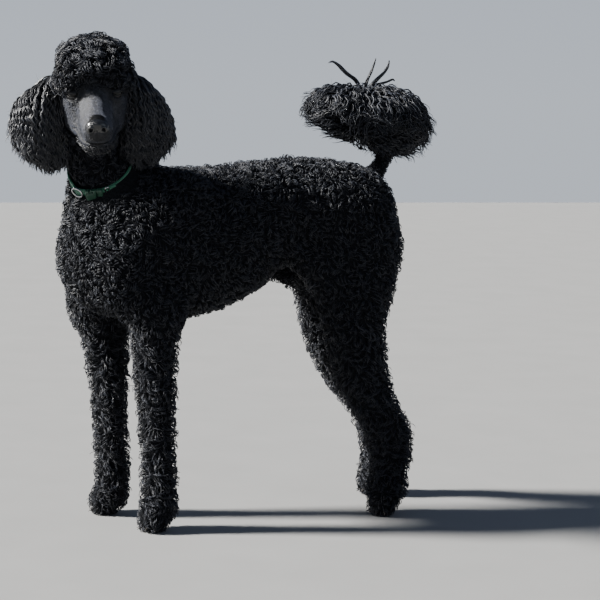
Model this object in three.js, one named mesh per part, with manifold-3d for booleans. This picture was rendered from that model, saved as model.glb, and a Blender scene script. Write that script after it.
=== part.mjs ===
// A black standard poodle in a short sporting clip, standing square with its head turned to its left.
// Millimetres, +Z up. The dog faces -Y, its left side is +X, and the floor is Z = 0.
// Every solid of the body is the outline over the coat, out to the tips of the hair.
import * as THREE from 'three';
import { mergeVertices } from 'three/addons/utils/BufferGeometryUtils.js';
import Module from 'manifold-3d';

const wasm = await Module();
wasm.setup();

// Driving dimensions of the body, over the coat
const WITHERS = 640;            // height of the back over the shoulders
const CROUP = 660;              // height of the back over the hips
const BRISKET = 364;            // height of the chest floor between the elbows
const ELBOW = 362;              // height of the elbows
const SHOULDER_HALF = 72;       // elbows and forefeet, out from the midline
const HIP_HALF = 80;            // hocks and hind feet, out from the midline
const LEG_RADIUS = 34;          // forelegs, with their hair
const LEFT_WRIST_Y = -157;      // forelegs at the wrist, along the body
const RIGHT_WRIST_Y = -196;     // the right foreleg stands a step further forward
const LEFT_HOCK_Y = 304;        // hind legs at the hock, along the body
const RIGHT_HOCK_Y = 358;       // the right hind leg stands a little further back
const RIGHT_HEEL_BACK = 8;      // and its foot is set back from its hock
const PAW_TURN = 24;            // degrees that the toes turn out
const CLAW_HEIGHT = 10;         // where a claw leaves the toe
const COLLAR_WIDTH = 20;
const COLLAR_THICKNESS = 3.2;
const EYE_RADIUS = 11;
const EYE_HALF = 35;            // eyes' centres, out from the middle of the face
const EYE_HEIGHT = 8;           // over the head's centre, in its own frame
const EYE_SUNK = 9;             // eyes' centres, in from the face
const GAP = 0.3;                // clearance between pieces that touch
const DEGREE = Math.PI / 180;

// Cells of the grids that the solids are meshed on: wide, deep and tall
const CELLS = {
  trunk: [42, 58, 42],
  prepuce: [16, 18, 16],
  foreleg: [22, 22, 50],
  hindLeg: [28, 30, 44],
  paw: [26, 26, 20],
  head: [24, 24, 23],
  muzzle: [18, 18, 16],
  neck: [42, 42, 36],
  nose: [8, 8, 8],
  topknot: [30, 30, 25],
  ear: [31, 31, 37],
  plume: [34, 35, 25],
  stem: [14, 14, 22],
};

// Corners of the grids, low and high, and how far the head's grids reach from their middles
const BOXES = {
  trunk: [[-180, -390, 330], [180, 390, 700]],
  prepuce: [[-40, 40, 400], [40, 160, 500]],
  neck: [[-130, -430, 530], [190, -90, 790]],
  foreleg: [[-60, -330, -30], [132, -60, 430]],
  hindLeg: [[-90, 60, -30], [170, 420, 640]],
  stem: [[-60, 220, 560], [60, 380, 750]],
  plume: [[-130, 90, 600], [130, 430, 850]],
};
const REACH = { nose: 36, muzzle: 90, head: 110, topknot: 150, ear: 240 };

// The head's own frame is the body's, turned: it faces -Y, and its left is +X
const HEAD_CENTRE = [46, -273, 770];
const HEAD_TURN = 74;           // degrees, to the dog's left
const HEAD_NOD = 14;            // degrees that the nose dips
const HEAD_ROLL = -4;           // degrees, the dog's right side lower

const headFrame = new THREE.Matrix4()
  .makeTranslation(...HEAD_CENTRE)
  .multiply(new THREE.Matrix4().makeRotationZ(HEAD_TURN * DEGREE))
  .multiply(new THREE.Matrix4().makeRotationX(HEAD_NOD * DEGREE))
  .multiply(new THREE.Matrix4().makeRotationY(HEAD_ROLL * DEGREE));
const intoHead = headFrame.clone().invert();

// A limb is a string of stations: x, y, z, half width along x, half depth along y, and half
// height along z where that differs from the half depth
const STEPS = 4;                // straight stretches between two stations of a curved limb

function curved(stations) {
  const fine = [];
  const last = stations.length - 1;
  for (let i = 0; i < last; i += 1) {
    const a = stations[Math.max(i - 1, 0)];
    const b = stations[i];
    const c = stations[i + 1];
    const d = stations[Math.min(i + 2, last)];
    for (let k = 0; k < STEPS; k += 1) {
      const t = k / STEPS;
      fine.push(b.map((value, n) => value + 0.5 * t * (c[n] - a[n]
        + t * (2 * a[n] - 5 * value + 4 * c[n] - d[n] + t * (3 * (value - c[n]) + d[n] - a[n])))));
    }
  }
  fine.push(stations[last]);
  return fine;
}

// Distance to an ellipsoid that slides from one station to the next while its size changes
function stretchDistance(x, y, z, a, b) {
  const ux = b[0] - a[0];
  const uy = b[1] - a[1];
  const uz = b[2] - a[2];
  const long = ux * ux + uy * uy + uz * uz;
  const along = (x - a[0]) * ux + (y - a[1]) * uy + (z - a[2]) * uz;
  const t = long > 0 ? Math.min(Math.max(along / long, 0), 1) : 0;
  const across = a[3] + t * (b[3] - a[3]);
  const depth = a[4] + t * (b[4] - a[4]);
  const tall = a[5] + t * (b[5] - a[5]);
  const dx = (x - a[0] - t * ux) / across;
  const dy = (y - a[1] - t * uy) / depth;
  const dz = (z - a[2] - t * uz) / tall;
  const size = Math.hypot(dx, dy, dz);
  const slope = Math.hypot(dx / across, dy / depth, dz / tall);
  return slope > 0 ? size * (size - 1) / slope : -Math.min(across, depth, tall);
}

function blended(a, b, softness) {
  const overlap = Math.max(softness - Math.abs(a - b), 0) / softness;
  return Math.min(a, b) - overlap * overlap * softness * 0.25;
}

function limb(stations, softness, frame) {
  const full = stations.map((s) => [...s.slice(0, 5), s[5] ?? s[4]]);
  return { fine: full.length > 2 ? curved(full) : full, softness, frame };
}

// One field for a group of limbs: negative inside, positive outside, in millimetres near the surface
function fieldOf(limbs) {
  const point = new THREE.Vector3();
  return (x, y, z) => {
    let total = Infinity;
    for (const { fine, softness, frame } of limbs) {
      point.set(x, y, z);
      if (frame) point.applyMatrix4(frame);
      let own = Infinity;
      for (let i = 0; i + 1 < fine.length || i === 0; i += 1) {
        const next = fine[Math.min(i + 1, fine.length - 1)];
        own = Math.min(own, stretchDistance(point.x, point.y, point.z, fine[i], next));
      }
      total = total === Infinity ? own : blended(total, own, softness);
    }
    return total;
  };
}

// The body's limbs. side is 1 for the dog's left and -1 for its right.
const TRUNK = limb([
  [0, -214, 480, 96, 108],
  [0, -165, 500, 110, 134],
  [0, -100, (WITHERS + BRISKET) / 2, 114, (WITHERS - BRISKET) / 2],
  [0, -20, 518, 114, 125],
  [0, 60, 562, 104, 92],
  [0, 140, 570, 98, CROUP - 570],
  [0, 212, 558, 96, 92],
], 30);
const PREPUCE = limb([[0, 80, 458, 14, 20], [0, 120, 436, 14, 15, 21]], 16);

function shoulder(side) {
  return limb([
    [side * 62, -115, 576, 44, 50],
    [side * 72, -212, 466, 42, 62],
    [side * 76, side > 0 ? -165 : -214, 400, 42, side > 0 ? 48 : 62],
  ], 40);
}

function foreleg(side) {
  const wrist = side > 0 ? LEFT_WRIST_Y : RIGHT_WRIST_Y;
  return limb([
    [side * 74, side > 0 ? -164 : -216, ELBOW + 20, 41, side > 0 ? 50 : 56],
    [side * (SHOULDER_HALF + 2), wrist - 8, 300, 37, 42],
    [side * SHOULDER_HALF, wrist, 170, LEG_RADIUS - 2, LEG_RADIUS - 1],
    [side * SHOULDER_HALF, wrist + 5, 85, LEG_RADIUS - 1, LEG_RADIUS],
  ], 35);
}

function forePaw(side) {
  const wrist = side > 0 ? LEFT_WRIST_Y : RIGHT_WRIST_Y;
  return limb([
    [side * SHOULDER_HALF, wrist + 6, 40, 34, 35, 46],
    [side * (SHOULDER_HALF + 6), wrist - 7, 24, 33, 33, 37],
  ], 24);
}

function haunch(side) {
  const hock = side > 0 ? LEFT_HOCK_Y : RIGHT_HOCK_Y;
  return limb([
    [side * 52, 200, 555, 60, 86],
    [side * 66, hock * 0.3 + 132, 465, 53, 86],
    [side * 76, hock * 0.4 + 96, 365, 47, 66],
    [side * 80, hock * 0.65 + 37, 270, 41, 54],
    [side * HIP_HALF, hock - 30, 185, 35, 40],
  ], 45);
}

function buttock(side) {
  return limb([[side * 42, 242, 560, 52, 52], [side * 54, 254, 500, 48, 54]], 50);
}

function hock(side) {
  const y = side > 0 ? LEFT_HOCK_Y : RIGHT_HOCK_Y;
  const heel = side > 0 ? 0 : RIGHT_HEEL_BACK;
  return limb([
    [side * HIP_HALF, y - 8, 150, 34, 46],
    [side * HIP_HALF, y - 4, 122, 34, 44],
    [side * HIP_HALF, y - 8 + heel, 60, 34, 36],
  ], 25);
}

function hindPaw(side) {
  const y = side > 0 ? LEFT_HOCK_Y : RIGHT_HOCK_Y + RIGHT_HEEL_BACK;
  return limb([
    [side * HIP_HALF, y - 14, 38, 34, 34, 44],
    [side * (HIP_HALF + 6), y - 22, 24, 33, 33, 36],
  ], 24);
}

const TAIL_STEM = limb([
  [0, 270, 612, 27, 27],
  [0, 304, 652, 18, 18],
  [0, 308, 712, 15, 16],
], 22);

const NECK = limb([
  [0, -212, 566, 84, 90],
  [8, -250, 634, 60, 58],
  [20, -268, 695, 53, 51],
  [38, -272, 748, 52, 56],
], 50);

const HEAD_BACK = limb([[0, 0, 4, 48, 60, 50], [0, -20, 2, 46, 52, 44]], 20, intoHead);
const FACE = [
  HEAD_BACK,
  limb([[0, -40, -10, 40, 34, 36], [0, -96, -28, 31, 28, 28], [0, -132, -36, 27, 20, 23]], 26, intoHead),
  limb([[0, -24, -44, 40, 34, 26], [0, -84, -58, 33, 26, 20], [0, -114, -64, 26, 18, 17]], 22, intoHead),
  limb([[34, -26, -12, 16, 30, 26], [30, -30, -40, 15, 30, 24]], 24, intoHead),
  limb([[-34, -26, -12, 16, 30, 26], [-30, -30, -40, 15, 30, 24]], 24, intoHead),
];
const TOPKNOT = [
  limb([[0, 14, 51, 67, 62, 46], [0, -22, 51, 65, 52, 44]], 20, intoHead),
  limb([[-26, -54, 50, 28, 24, 20], [26, -54, 50, 28, 24, 20]], 26, intoHead),
  limb([[50, -40, 40, 18, 20, 22], [54, -26, 22, 16, 22, 22]], 16, intoHead),
  limb([[-50, -40, 40, 18, 20, 22], [-54, -26, 22, 16, 22, 22]], 16, intoHead),
];

// The right ear's hair, on the windward side, is blown out a little fuller
function ear(side) {
  const fuller = side > 0 ? 0 : 1;
  return limb([
    [side * (60 + 6 * fuller), 2, 10, 28 + 2 * fuller, 32, 25],
    [side * (84 + 11 * fuller), -3, -35, 42 + 8 * fuller, 38],
    [side * (90 + 5 * fuller), -4, -82, 49 + 2 * fuller, 42, 37],
    [side * 76, -4, -107, 38, 38, 33],
  ], 20, intoHead);
}

const PLUME = [
  limb([[0, 212, 749, 76, 60, 42], [0, 314, 732, 84, 66, 53]], 30),
  limb([[0, 276, 734, 90, 74, 50], [0, 328, 710, 66, 44, 49]], 40),
];

const BOTH = [1, -1];
const FLESH = fieldOf([
  TRUNK, NECK, HEAD_BACK, TAIL_STEM,
  ...BOTH.flatMap((side) => [shoulder(side), foreleg(side), forePaw(side), buttock(side), haunch(side),
    hock(side), hindPaw(side)]),
]);
const HEAD_AND_NECK = fieldOf([TRUNK, NECK, ...FACE]);

// Where two inside points of a grid face touch only across its diagonal, the weaker of the two
// outside points joins them, so that no more than two faces ever meet along an edge
function joinDiagonals(values, [nx, ny, nz], index) {
  const pairs = [[[1, 0, 0], [0, 1, 0]], [[0, 1, 0], [0, 0, 1]], [[0, 0, 1], [1, 0, 0]]];
  const barelyInside = -0.001;
  let joined = true;
  while (joined) {
    joined = false;
    for (let k = 1; k + 2 < nz; k += 1) {
      for (let j = 1; j + 2 < ny; j += 1) {
        for (let i = 1; i + 2 < nx; i += 1) {
          for (const [u, v] of pairs) {
            const a = index(i, j, k);
            const b = index(i + u[0], j + u[1], k + u[2]);
            const c = index(i + u[0] + v[0], j + u[1] + v[1], k + u[2] + v[2]);
            const d = index(i + v[0], j + v[1], k + v[2]);
            const inside = [a, b, c, d].map((n) => values[n] < 0);
            if (inside[0] === inside[2] && inside[1] === inside[3] && inside[0] !== inside[1]) {
              const outside = inside[0] ? [b, d] : [a, c];
              const weaker = values[outside[0]] < values[outside[1]] ? outside[0] : outside[1];
              values[weaker] = barelyInside;
              joined = true;
            }
          }
        }
      }
    }
  }
}

// A point moved along the field's slope onto the surface, by no more than the given reach
function drawnOnto(field, place, reach) {
  const step = 0.5;
  const [x, y, z] = place;
  const value = field(x, y, z);
  const slope = [
    (field(x + step, y, z) - field(x - step, y, z)) / (2 * step),
    (field(x, y + step, z) - field(x, y - step, z)) / (2 * step),
    (field(x, y, z + step) - field(x, y, z - step)) / (2 * step),
  ];
  const steepness = Math.max(Math.hypot(...slope), 0.3);
  const move = Math.min(Math.max(value / steepness, -reach), reach) / steepness;
  return place.map((c, n) => c - move * slope[n]);
}

// How far it is from a point inside a field to its surface, along a direction
function reachOf(field, from, direction) {
  let near = 0;
  let far = 300;
  const at = new THREE.Vector3();
  for (let n = 0; n < 24; n += 1) {
    const half = (near + far) / 2;
    at.copy(from).addScaledVector(direction, half);
    if (field(at.x, at.y, at.z) < 0) near = half;
    else far = half;
  }
  return near;
}

// A closed mesh round the negative part of a field: one vertex in each cell of a grid that the
// surface crosses, drawn onto the surface, and one face across each crossed edge
function meshOf(field, low, high, cell) {
  const count = low.map((value, n) => Math.ceil((high[n] - value) / cell[n]) + 1);
  const least = Math.min(...cell);
  const [nx, ny, nz] = count;
  const values = new Float64Array(nx * ny * nz);
  const index = (i, j, k) => i + nx * (j + ny * k);
  for (let k = 0; k < nz; k += 1) {
    for (let j = 0; j < ny; j += 1) {
      for (let i = 0; i < nx; i += 1) {
        const rim = i === 0 || j === 0 || k === 0 || i === nx - 1 || j === ny - 1 || k === nz - 1;
        const value = field(low[0] + i * cell[0], low[1] + j * cell[1], low[2] + k * cell[2]);
        values[index(i, j, k)] = rim ? Math.max(value, least / 2) : value;
      }
    }
  }
  joinDiagonals(values, count, index);
  const vertices = [];
  const vertexOf = new Map();
  const corners = [0, 1, 2, 3, 4, 5, 6, 7].map((c) => [c & 1, (c >> 1) & 1, (c >> 2) & 1]);
  const edges = [];
  corners.forEach((a, m) => corners.forEach((b, n) => {
    const apart = Math.abs(a[0] - b[0]) + Math.abs(a[1] - b[1]) + Math.abs(a[2] - b[2]);
    if (m < n && apart === 1) edges.push([a, b]);
  }));
  for (let k = 0; k + 1 < nz; k += 1) {
    for (let j = 0; j + 1 < ny; j += 1) {
      for (let i = 0; i + 1 < nx; i += 1) {
        const sum = [0, 0, 0];
        let crossed = 0;
        for (const [a, b] of edges) {
          const va = values[index(i + a[0], j + a[1], k + a[2])];
          const vb = values[index(i + b[0], j + b[1], k + b[2])];
          if ((va < 0) !== (vb < 0)) {
            const t = va / (va - vb);
            for (let n = 0; n < 3; n += 1) sum[n] += a[n] + t * (b[n] - a[n]);
            crossed += 1;
          }
        }
        if (crossed) {
          const rim = i === 0 || j === 0 || k === 0 || i === nx - 2 || j === ny - 2 || k === nz - 2;
          const place = [i, j, k].map((c, n) => low[n] + cell[n] * (c + sum[n] / crossed));
          vertexOf.set(index(i, j, k), vertices.length / 3);
          vertices.push(...(rim ? place : drawnOnto(field, place, least / 2)));
        }
      }
    }
  }
  const triangles = [];
  const ways = [[1, 0, 0], [0, 1, 0], [0, 0, 1]];
  for (let k = 0; k + 1 < nz; k += 1) {
    for (let j = 0; j + 1 < ny; j += 1) {
      for (let i = 0; i + 1 < nx; i += 1) {
        ways.forEach((way, n) => {
          const va = values[index(i, j, k)];
          const vb = values[index(i + way[0], j + way[1], k + way[2])];
          if ((va < 0) === (vb < 0)) return;
          const [u, v] = [ways[(n + 1) % 3], ways[(n + 2) % 3]];
          const ring = [[0, 0], [1, 0], [1, 1], [0, 1]].map(([p, q]) => vertexOf.get(
            index(i - p * u[0] - q * v[0], j - p * u[1] - q * v[1], k - p * u[2] - q * v[2])));
          if (va > 0) ring.reverse();
          triangles.push(ring[0], ring[1], ring[2], ring[0], ring[2], ring[3]);
        });
      }
    }
  }
  return { vertices, triangles };
}

function solidOf({ vertices, triangles }) {
  return new wasm.Manifold(new wasm.Mesh({
    numProp: 3,
    vertProperties: new Float32Array(vertices),
    triVerts: new Uint32Array(triangles),
  }));
}

function solidFrom(geometry, matrix) {
  const bare = geometry.clone();
  bare.deleteAttribute('normal');
  bare.deleteAttribute('uv');
  if (matrix) bare.applyMatrix4(matrix);
  const merged = mergeVertices(bare, 0.001);
  return solidOf({ vertices: merged.attributes.position.array, triangles: merged.index.array });
}

// The same solid with every vertex moved out along its normal, to cut its neighbour with clearance
function swollen(solid, by) {
  const mesh = solid.getMesh();
  const geometry = new THREE.BufferGeometry();
  geometry.setAttribute('position', new THREE.BufferAttribute(mesh.vertProperties.slice(), 3));
  geometry.setIndex(new THREE.BufferAttribute(mesh.triVerts.slice(), 1));
  geometry.computeVertexNormals();
  const place = geometry.attributes.position;
  const normal = geometry.attributes.normal;
  const moved = [];
  for (let i = 0; i < place.count; i += 1) {
    moved.push(place.getX(i) + by * normal.getX(i), place.getY(i) + by * normal.getY(i),
      place.getZ(i) + by * normal.getZ(i));
  }
  return solidOf({ vertices: moved, triangles: mesh.triVerts });
}

// Everything that lies beyond all of the given planes, each a point and a normal. A piece starts
// half a gap beyond them, and what is left over ends half a gap before them.
const FAR = 3000;
function region(planes, start) {
  return planes.map(([point, normal]) => {
    const direction = new THREE.Vector3(...normal).normalize();
    const turn = new THREE.Quaternion().setFromUnitVectors(new THREE.Vector3(0, 0, 1), direction);
    const centre = new THREE.Vector3(...point).addScaledVector(direction, start + FAR / 2);
    const matrix = new THREE.Matrix4().compose(centre, turn, new THREE.Vector3(1, 1, 1));
    return solidFrom(new THREE.BoxGeometry(FAR, FAR, FAR), matrix);
  }).reduce((kept, half) => kept.intersect(half));
}

function within(solid, planes) {
  return solid.intersect(region(planes, GAP / 2));
}

function without(solid, planes) {
  return solid.subtract(region(planes, -GAP / 2));
}

function flipped(planes) {
  return planes.map(([point, normal]) => [point, normal.map((value) => -value)]);
}

// Materials of the model, each made anew for its mesh
const COAT = { color: 0x17171b, roughness: 0.85, metalness: 0 };
const NOSE_LEATHER = { color: 0x0d0d0f, roughness: 0.35, metalness: 0 };
const EYE = { color: 0x1c0f08, roughness: 0.08, metalness: 0 };
const CLAW = { color: 0x1a1614, roughness: 0.5, metalness: 0 };
const WEBBING = { color: 0x1d5a3b, roughness: 0.8, metalness: 0 };
const PLASTIC = { color: 0x16402c, roughness: 0.45, metalness: 0 };
const STEEL = { color: 0xb4b7ba, roughness: 0.25, metalness: 1 };

const poodle = new THREE.Group();
poodle.name = 'standard_poodle';

function addMesh(name, geometry, look) {
  const mesh = new THREE.Mesh(geometry, new THREE.MeshStandardMaterial(look));
  mesh.name = name;
  poodle.add(mesh);
  return mesh;
}

function addSolid(name, solid, look) {
  const { vertProperties, triVerts } = solid.getMesh();
  const geometry = new THREE.BufferGeometry();
  geometry.setAttribute('position', new THREE.BufferAttribute(new Float32Array(vertProperties), 3));
  geometry.setIndex(new THREE.BufferAttribute(new Uint32Array(triVerts), 1));
  geometry.computeVertexNormals();
  return addMesh(name, geometry, look);
}

// Where the body is parted: each cut is a list of planes that the piece lies beyond
const FLOOR = [[0, 0, GAP / -2], [0, 0, 1]];
const THROAT = [new THREE.Vector3(0, 10, -50).applyMatrix4(headFrame).toArray(),
  new THREE.Vector3(0, -0.27, 1).transformDirection(headFrame).toArray()];
const STOP = [new THREE.Vector3(0, -62, 0).applyMatrix4(headFrame).toArray(),
  new THREE.Vector3(0, -1, 0.2).transformDirection(headFrame).toArray()];
const NECK_ROOT = [[0, -205, 590], [0, -0.466, 0.885]];
const TAIL_ROOT = [[0, 300, 634], [0, 0.45, 0.9]];
const FORELEG_TOP = 392;
const FORELEG_CUTS = [150, 62];
const HIND_CUTS = [330, 170, 58];

const armPlanes = (side) => [[[0, 0, FORELEG_TOP], [0, 0, -1]], [[0, -104, 0], [0, -1, 0]],
  [[side * 30, 0, 0], [side, 0, 0]]];
const thighPlanes = (side) => [[[0, 130, 480], [0, 0.55, -0.83]], [[side * 19, 0, 0], [side, 0, 0]]];

// Collar: a webbing band that follows the neck, lower at the throat, with its buckle and ring
const COLLAR_CENTRE = new THREE.Vector3(13, -254, 634);
const COLLAR_AXIS = new THREE.Vector3(0.55, -0.42, 0.72).normalize();
const COLLAR_SUNK = 4;          // how far its outer face lies below the tips of the coat
const COLLAR_REACH = 62;        // but no further from its middle than this, round the neck itself
const HAIR_PARTED = 60;         // how far out from the strap the hair is parted
const COLLAR_SIDES = 22;
const collarTurn = new THREE.Quaternion().setFromUnitVectors(new THREE.Vector3(0, 0, 1), COLLAR_AXIS);
const collarFrame = new THREE.Matrix4().compose(COLLAR_CENTRE, collarTurn, new THREE.Vector3(1, 1, 1));

// The radius of the collar's outer face at an angle about its axis
function collarRadius(angle) {
  const direction = new THREE.Vector3(Math.cos(angle), Math.sin(angle), 0).applyQuaternion(collarTurn);
  return Math.min(reachOf(HEAD_AND_NECK, COLLAR_CENTRE, direction) - COLLAR_SUNK, COLLAR_REACH);
}

function collarLoop(out) {
  return Array.from({ length: COLLAR_SIDES }, (_, n) => {
    const angle = 2 * Math.PI * n / COLLAR_SIDES;
    const radius = collarRadius(angle) + out;
    return new THREE.Vector2(radius * Math.cos(angle), radius * Math.sin(angle));
  });
}

function bandSolid(inner, outer, width) {
  const ring = new THREE.Shape(outer);
  ring.holes.push(new THREE.Path(inner));
  const geometry = new THREE.ExtrudeGeometry(ring, { depth: width, bevelEnabled: false });
  return solidFrom(geometry.translate(0, 0, -width / 2), collarFrame);
}

// A place on the collar's outer face: local X runs along the strap, Z points out of it
function onCollar(angle, out) {
  const place = new THREE.Matrix4().makeRotationZ(angle)
    .multiply(new THREE.Matrix4().makeTranslation(collarRadius(angle) + out, 0, 0))
    .multiply(new THREE.Matrix4().makeRotationY(Math.PI / 2))
    .multiply(new THREE.Matrix4().makeRotationZ(Math.PI / 2));
  return collarFrame.clone().multiply(place);
}

function roundedBlock(length, width, thickness, corner) {
  const x = length / 2 - corner;
  const y = width / 2 - corner;
  const face = new THREE.Shape();
  face.absarc(x, y, corner, 0, Math.PI / 2);
  face.absarc(-x, y, corner, Math.PI / 2, Math.PI);
  face.absarc(-x, -y, corner, Math.PI, 1.5 * Math.PI);
  face.absarc(x, -y, corner, 1.5 * Math.PI, 2 * Math.PI);
  return new THREE.ExtrudeGeometry(face, { depth: thickness, bevelEnabled: false, curveSegments: 3 });
}

// The direction of the lowest point of the collar, at the throat, as an angle about its axis
const down = new THREE.Vector3(0, 0, -1).applyQuaternion(collarTurn.clone().invert());
const THROAT_ANGLE = Math.atan2(down.y, down.x);

const band = bandSolid(collarLoop(-COLLAR_THICKNESS), collarLoop(0), COLLAR_WIDTH);
const groove = bandSolid(collarLoop(-COLLAR_THICKNESS - GAP), collarLoop(HAIR_PARTED), COLLAR_WIDTH + 2 * GAP);
addSolid('collar_strap', band, WEBBING);

// Buckle, slider and ring, lying on the strap
const BUCKLE = { length: 30, width: 25, thickness: 8, corner: 5, sunk: 1.5, angle: THROAT_ANGLE + 0.18 };
const SLIDER = { length: 7, width: 26, thickness: 3, corner: 2, angle: THROAT_ANGLE + 0.54 };
const RING = { radius: 10, wire: 1.7, angle: THROAT_ANGLE - 0.3, drop: 4 };
const buckleBlock = solidFrom(roundedBlock(BUCKLE.length, BUCKLE.width, BUCKLE.thickness, BUCKLE.corner),
  onCollar(BUCKLE.angle, -BUCKLE.sunk));
const slider = solidFrom(roundedBlock(SLIDER.length, SLIDER.width, SLIDER.thickness, SLIDER.corner),
  onCollar(SLIDER.angle, GAP + 0.5));
const ringPlace = onCollar(RING.angle, 2 * RING.wire)
  .multiply(new THREE.Matrix4().makeTranslation(0, RING.drop, 0));
const ring = solidFrom(new THREE.TorusGeometry(RING.radius, RING.wire, 5, 12), ringPlace);

// Head and neck
function around(centre, reach) {
  const place = centre.toArray();
  return [place.map((value) => value - reach), place.map((value) => value + reach)];
}

const headCentre = new THREE.Vector3(...HEAD_CENTRE);
const eyeGeometry = new THREE.SphereGeometry(EYE_RADIUS, 10, 7);
const forward = new THREE.Vector3(0, -1, 0).transformDirection(headFrame);
const eyes = BOTH.map((side) => {
  const inside = new THREE.Vector3(side * EYE_HALF, 0, EYE_HEIGHT);
  const depth = reachOf(HEAD_AND_NECK, inside.clone().applyMatrix4(headFrame), forward) - EYE_SUNK;
  const place = headFrame.clone().multiply(new THREE.Matrix4().makeTranslation(inside.x, -depth, inside.z));
  return { side, place, solid: solidFrom(eyeGeometry, place) };
});
const noseField = fieldOf([
  limb([[-9, -142, -28, 11, 10, 11], [9, -142, -28, 11, 10, 11]], 8, intoHead),
  limb([[0, -138, -20, 15, 12, 7], [0, -136, -21, 15, 12, 7]], 8, intoHead),
]);
const noseTip = new THREE.Vector3(0, -142, -28).applyMatrix4(headFrame);
const muzzleMiddle = new THREE.Vector3(0, -100, -36).applyMatrix4(headFrame);
const nose = solidOf(meshOf(noseField, ...around(noseTip, REACH.nose), CELLS.nose));
const headCuts = [THROAT, ...flipped([STOP])];
const headWhole = solidOf(meshOf(HEAD_AND_NECK, ...around(headCentre, REACH.head), CELLS.head));
const muzzleWhole = solidOf(meshOf(HEAD_AND_NECK, ...around(muzzleMiddle, REACH.muzzle), CELLS.muzzle));
let head = within(headWhole, headCuts);
let muzzle = within(muzzleWhole, [STOP, THROAT]).subtract(swollen(nose, GAP));
for (const { solid } of eyes) {
  head = head.subtract(swollen(solid, GAP));
  muzzle = muzzle.subtract(swollen(solid, GAP));
}
const neckWhole = solidOf(meshOf(HEAD_AND_NECK, ...BOXES.neck, CELLS.neck));
const neck = within(neckWhole, [NECK_ROOT, ...flipped([THROAT])]).subtract(groove)
  .subtract(swollen(buckleBlock, GAP)).subtract(swollen(slider, GAP)).subtract(swollen(ring, GAP));
addSolid('head', head, COAT);
addSolid('muzzle', muzzle, COAT);
addSolid('neck', neck, COAT);
addSolid('nose', nose, NOSE_LEATHER);
for (const { side, place } of eyes) {
  const eye = addMesh(side > 0 ? 'eye_left' : 'eye_right', eyeGeometry, EYE);
  eye.applyMatrix4(place);
}
addSolid('collar_buckle', buckleBlock.subtract(swollen(band, GAP)), PLASTIC);
addSolid('collar_slider', slider, STEEL);
addSolid('collar_ring', ring, STEEL);

const topknotWhole = solidOf(meshOf(fieldOf(TOPKNOT), ...around(headCentre, REACH.topknot), CELLS.topknot));
const topknot = topknotWhole.subtract(swollen(headWhole, GAP)).subtract(swollen(muzzleWhole, GAP));
addSolid('topknot', topknot, COAT);

// Trunk and limbs
const trunkWhole = solidOf(meshOf(FLESH, ...BOXES.trunk, CELLS.trunk));
let trunk = within(trunkWhole, flipped([NECK_ROOT]));
trunk = without(trunk, [TAIL_ROOT]);
for (const side of BOTH) {
  trunk = without(without(trunk, armPlanes(side)), thighPlanes(side));
}
const prepuce = solidOf(meshOf(fieldOf([PREPUCE]), ...BOXES.prepuce, CELLS.prepuce));
trunk = trunk.subtract(groove).add(prepuce);
addSolid('trunk', trunk, COAT);

const paws = [];
const sideName = (side) => (side > 0 ? 'left' : 'right');
const heightCut = (z) => [[0, 0, z], [0, 0, 1]];

// A foot, from the cut above it down to its flat sole on the floor
const PAW_ROOM = { side: 70, length: 80, under: 34, over: 40 };
function pawAt(x, y, top) {
  const low = [x - PAW_ROOM.side, y - PAW_ROOM.length, -PAW_ROOM.under];
  const high = [x + PAW_ROOM.side, y + PAW_ROOM.length, top + PAW_ROOM.over];
  return within(solidOf(meshOf(FLESH, low, high, CELLS.paw)), [FLOOR, ...flipped([heightCut(top)])]);
}

// The corners of a left leg's grid, or of the same grid mirrored to the right
function legBox([low, high], side) {
  if (side > 0) return [low, high];
  return [[-high[0], low[1], low[2]], [-low[0], high[1], high[2]]];
}

for (const side of BOTH) {
  const x = side * SHOULDER_HALF;
  const box = legBox(BOXES.foreleg, side);
  const arm = within(solidOf(meshOf(FLESH, ...box, CELLS.foreleg)), armPlanes(side));
  const levels = [FORELEG_TOP + 50, ...FORELEG_CUTS];
  ['forearm', 'fore_pastern'].forEach((part, n) => {
    const cut = within(arm, [heightCut(levels[n + 1]), ...flipped([heightCut(levels[n])])]);
    addSolid(`${part}_${sideName(side)}`, cut, COAT);
  });
  const wristY = side > 0 ? LEFT_WRIST_Y : RIGHT_WRIST_Y;
  const paw = pawAt(x, wristY, FORELEG_CUTS[1]);
  paws.push({ name: `fore_paw_${sideName(side)}`, paw, middle: [x + side * 4, wristY - 2, CLAW_HEIGHT],
    heading: side * PAW_TURN * DEGREE });
}
for (const side of BOTH) {
  const x = side * HIP_HALF;
  const box = legBox(BOXES.hindLeg, side);
  const leg = within(solidOf(meshOf(FLESH, ...box, CELLS.hindLeg)), thighPlanes(side));
  const levels = [FAR, ...HIND_CUTS];
  ['thigh', 'lower_leg', 'hind_pastern'].forEach((part, n) => {
    const cut = within(leg, [heightCut(levels[n + 1]), ...flipped([heightCut(levels[n])])]);
    addSolid(`${part}_${sideName(side)}`, cut, COAT);
  });
  const heelY = side > 0 ? LEFT_HOCK_Y : RIGHT_HOCK_Y + RIGHT_HEEL_BACK;
  const paw = pawAt(x, heelY - 18, HIND_CUTS[2]);
  paws.push({ name: `hind_paw_${sideName(side)}`, paw, middle: [x + side * 4, heelY - 18, CLAW_HEIGHT],
    heading: side * PAW_TURN * DEGREE });
}

// Claws: four to a foot, their tips clear of the hair, just over the floor
const CLAW_LENGTH = 17;
const CLAW_RADIUS = 3.2;
const CLAW_SHOWS = 1;           // what stands out of the coat
const CLAW_DIP = 20 * DEGREE;
const TOE_ANGLES = [-42, -14, 14, 42].map((angle) => angle * DEGREE);

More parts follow.
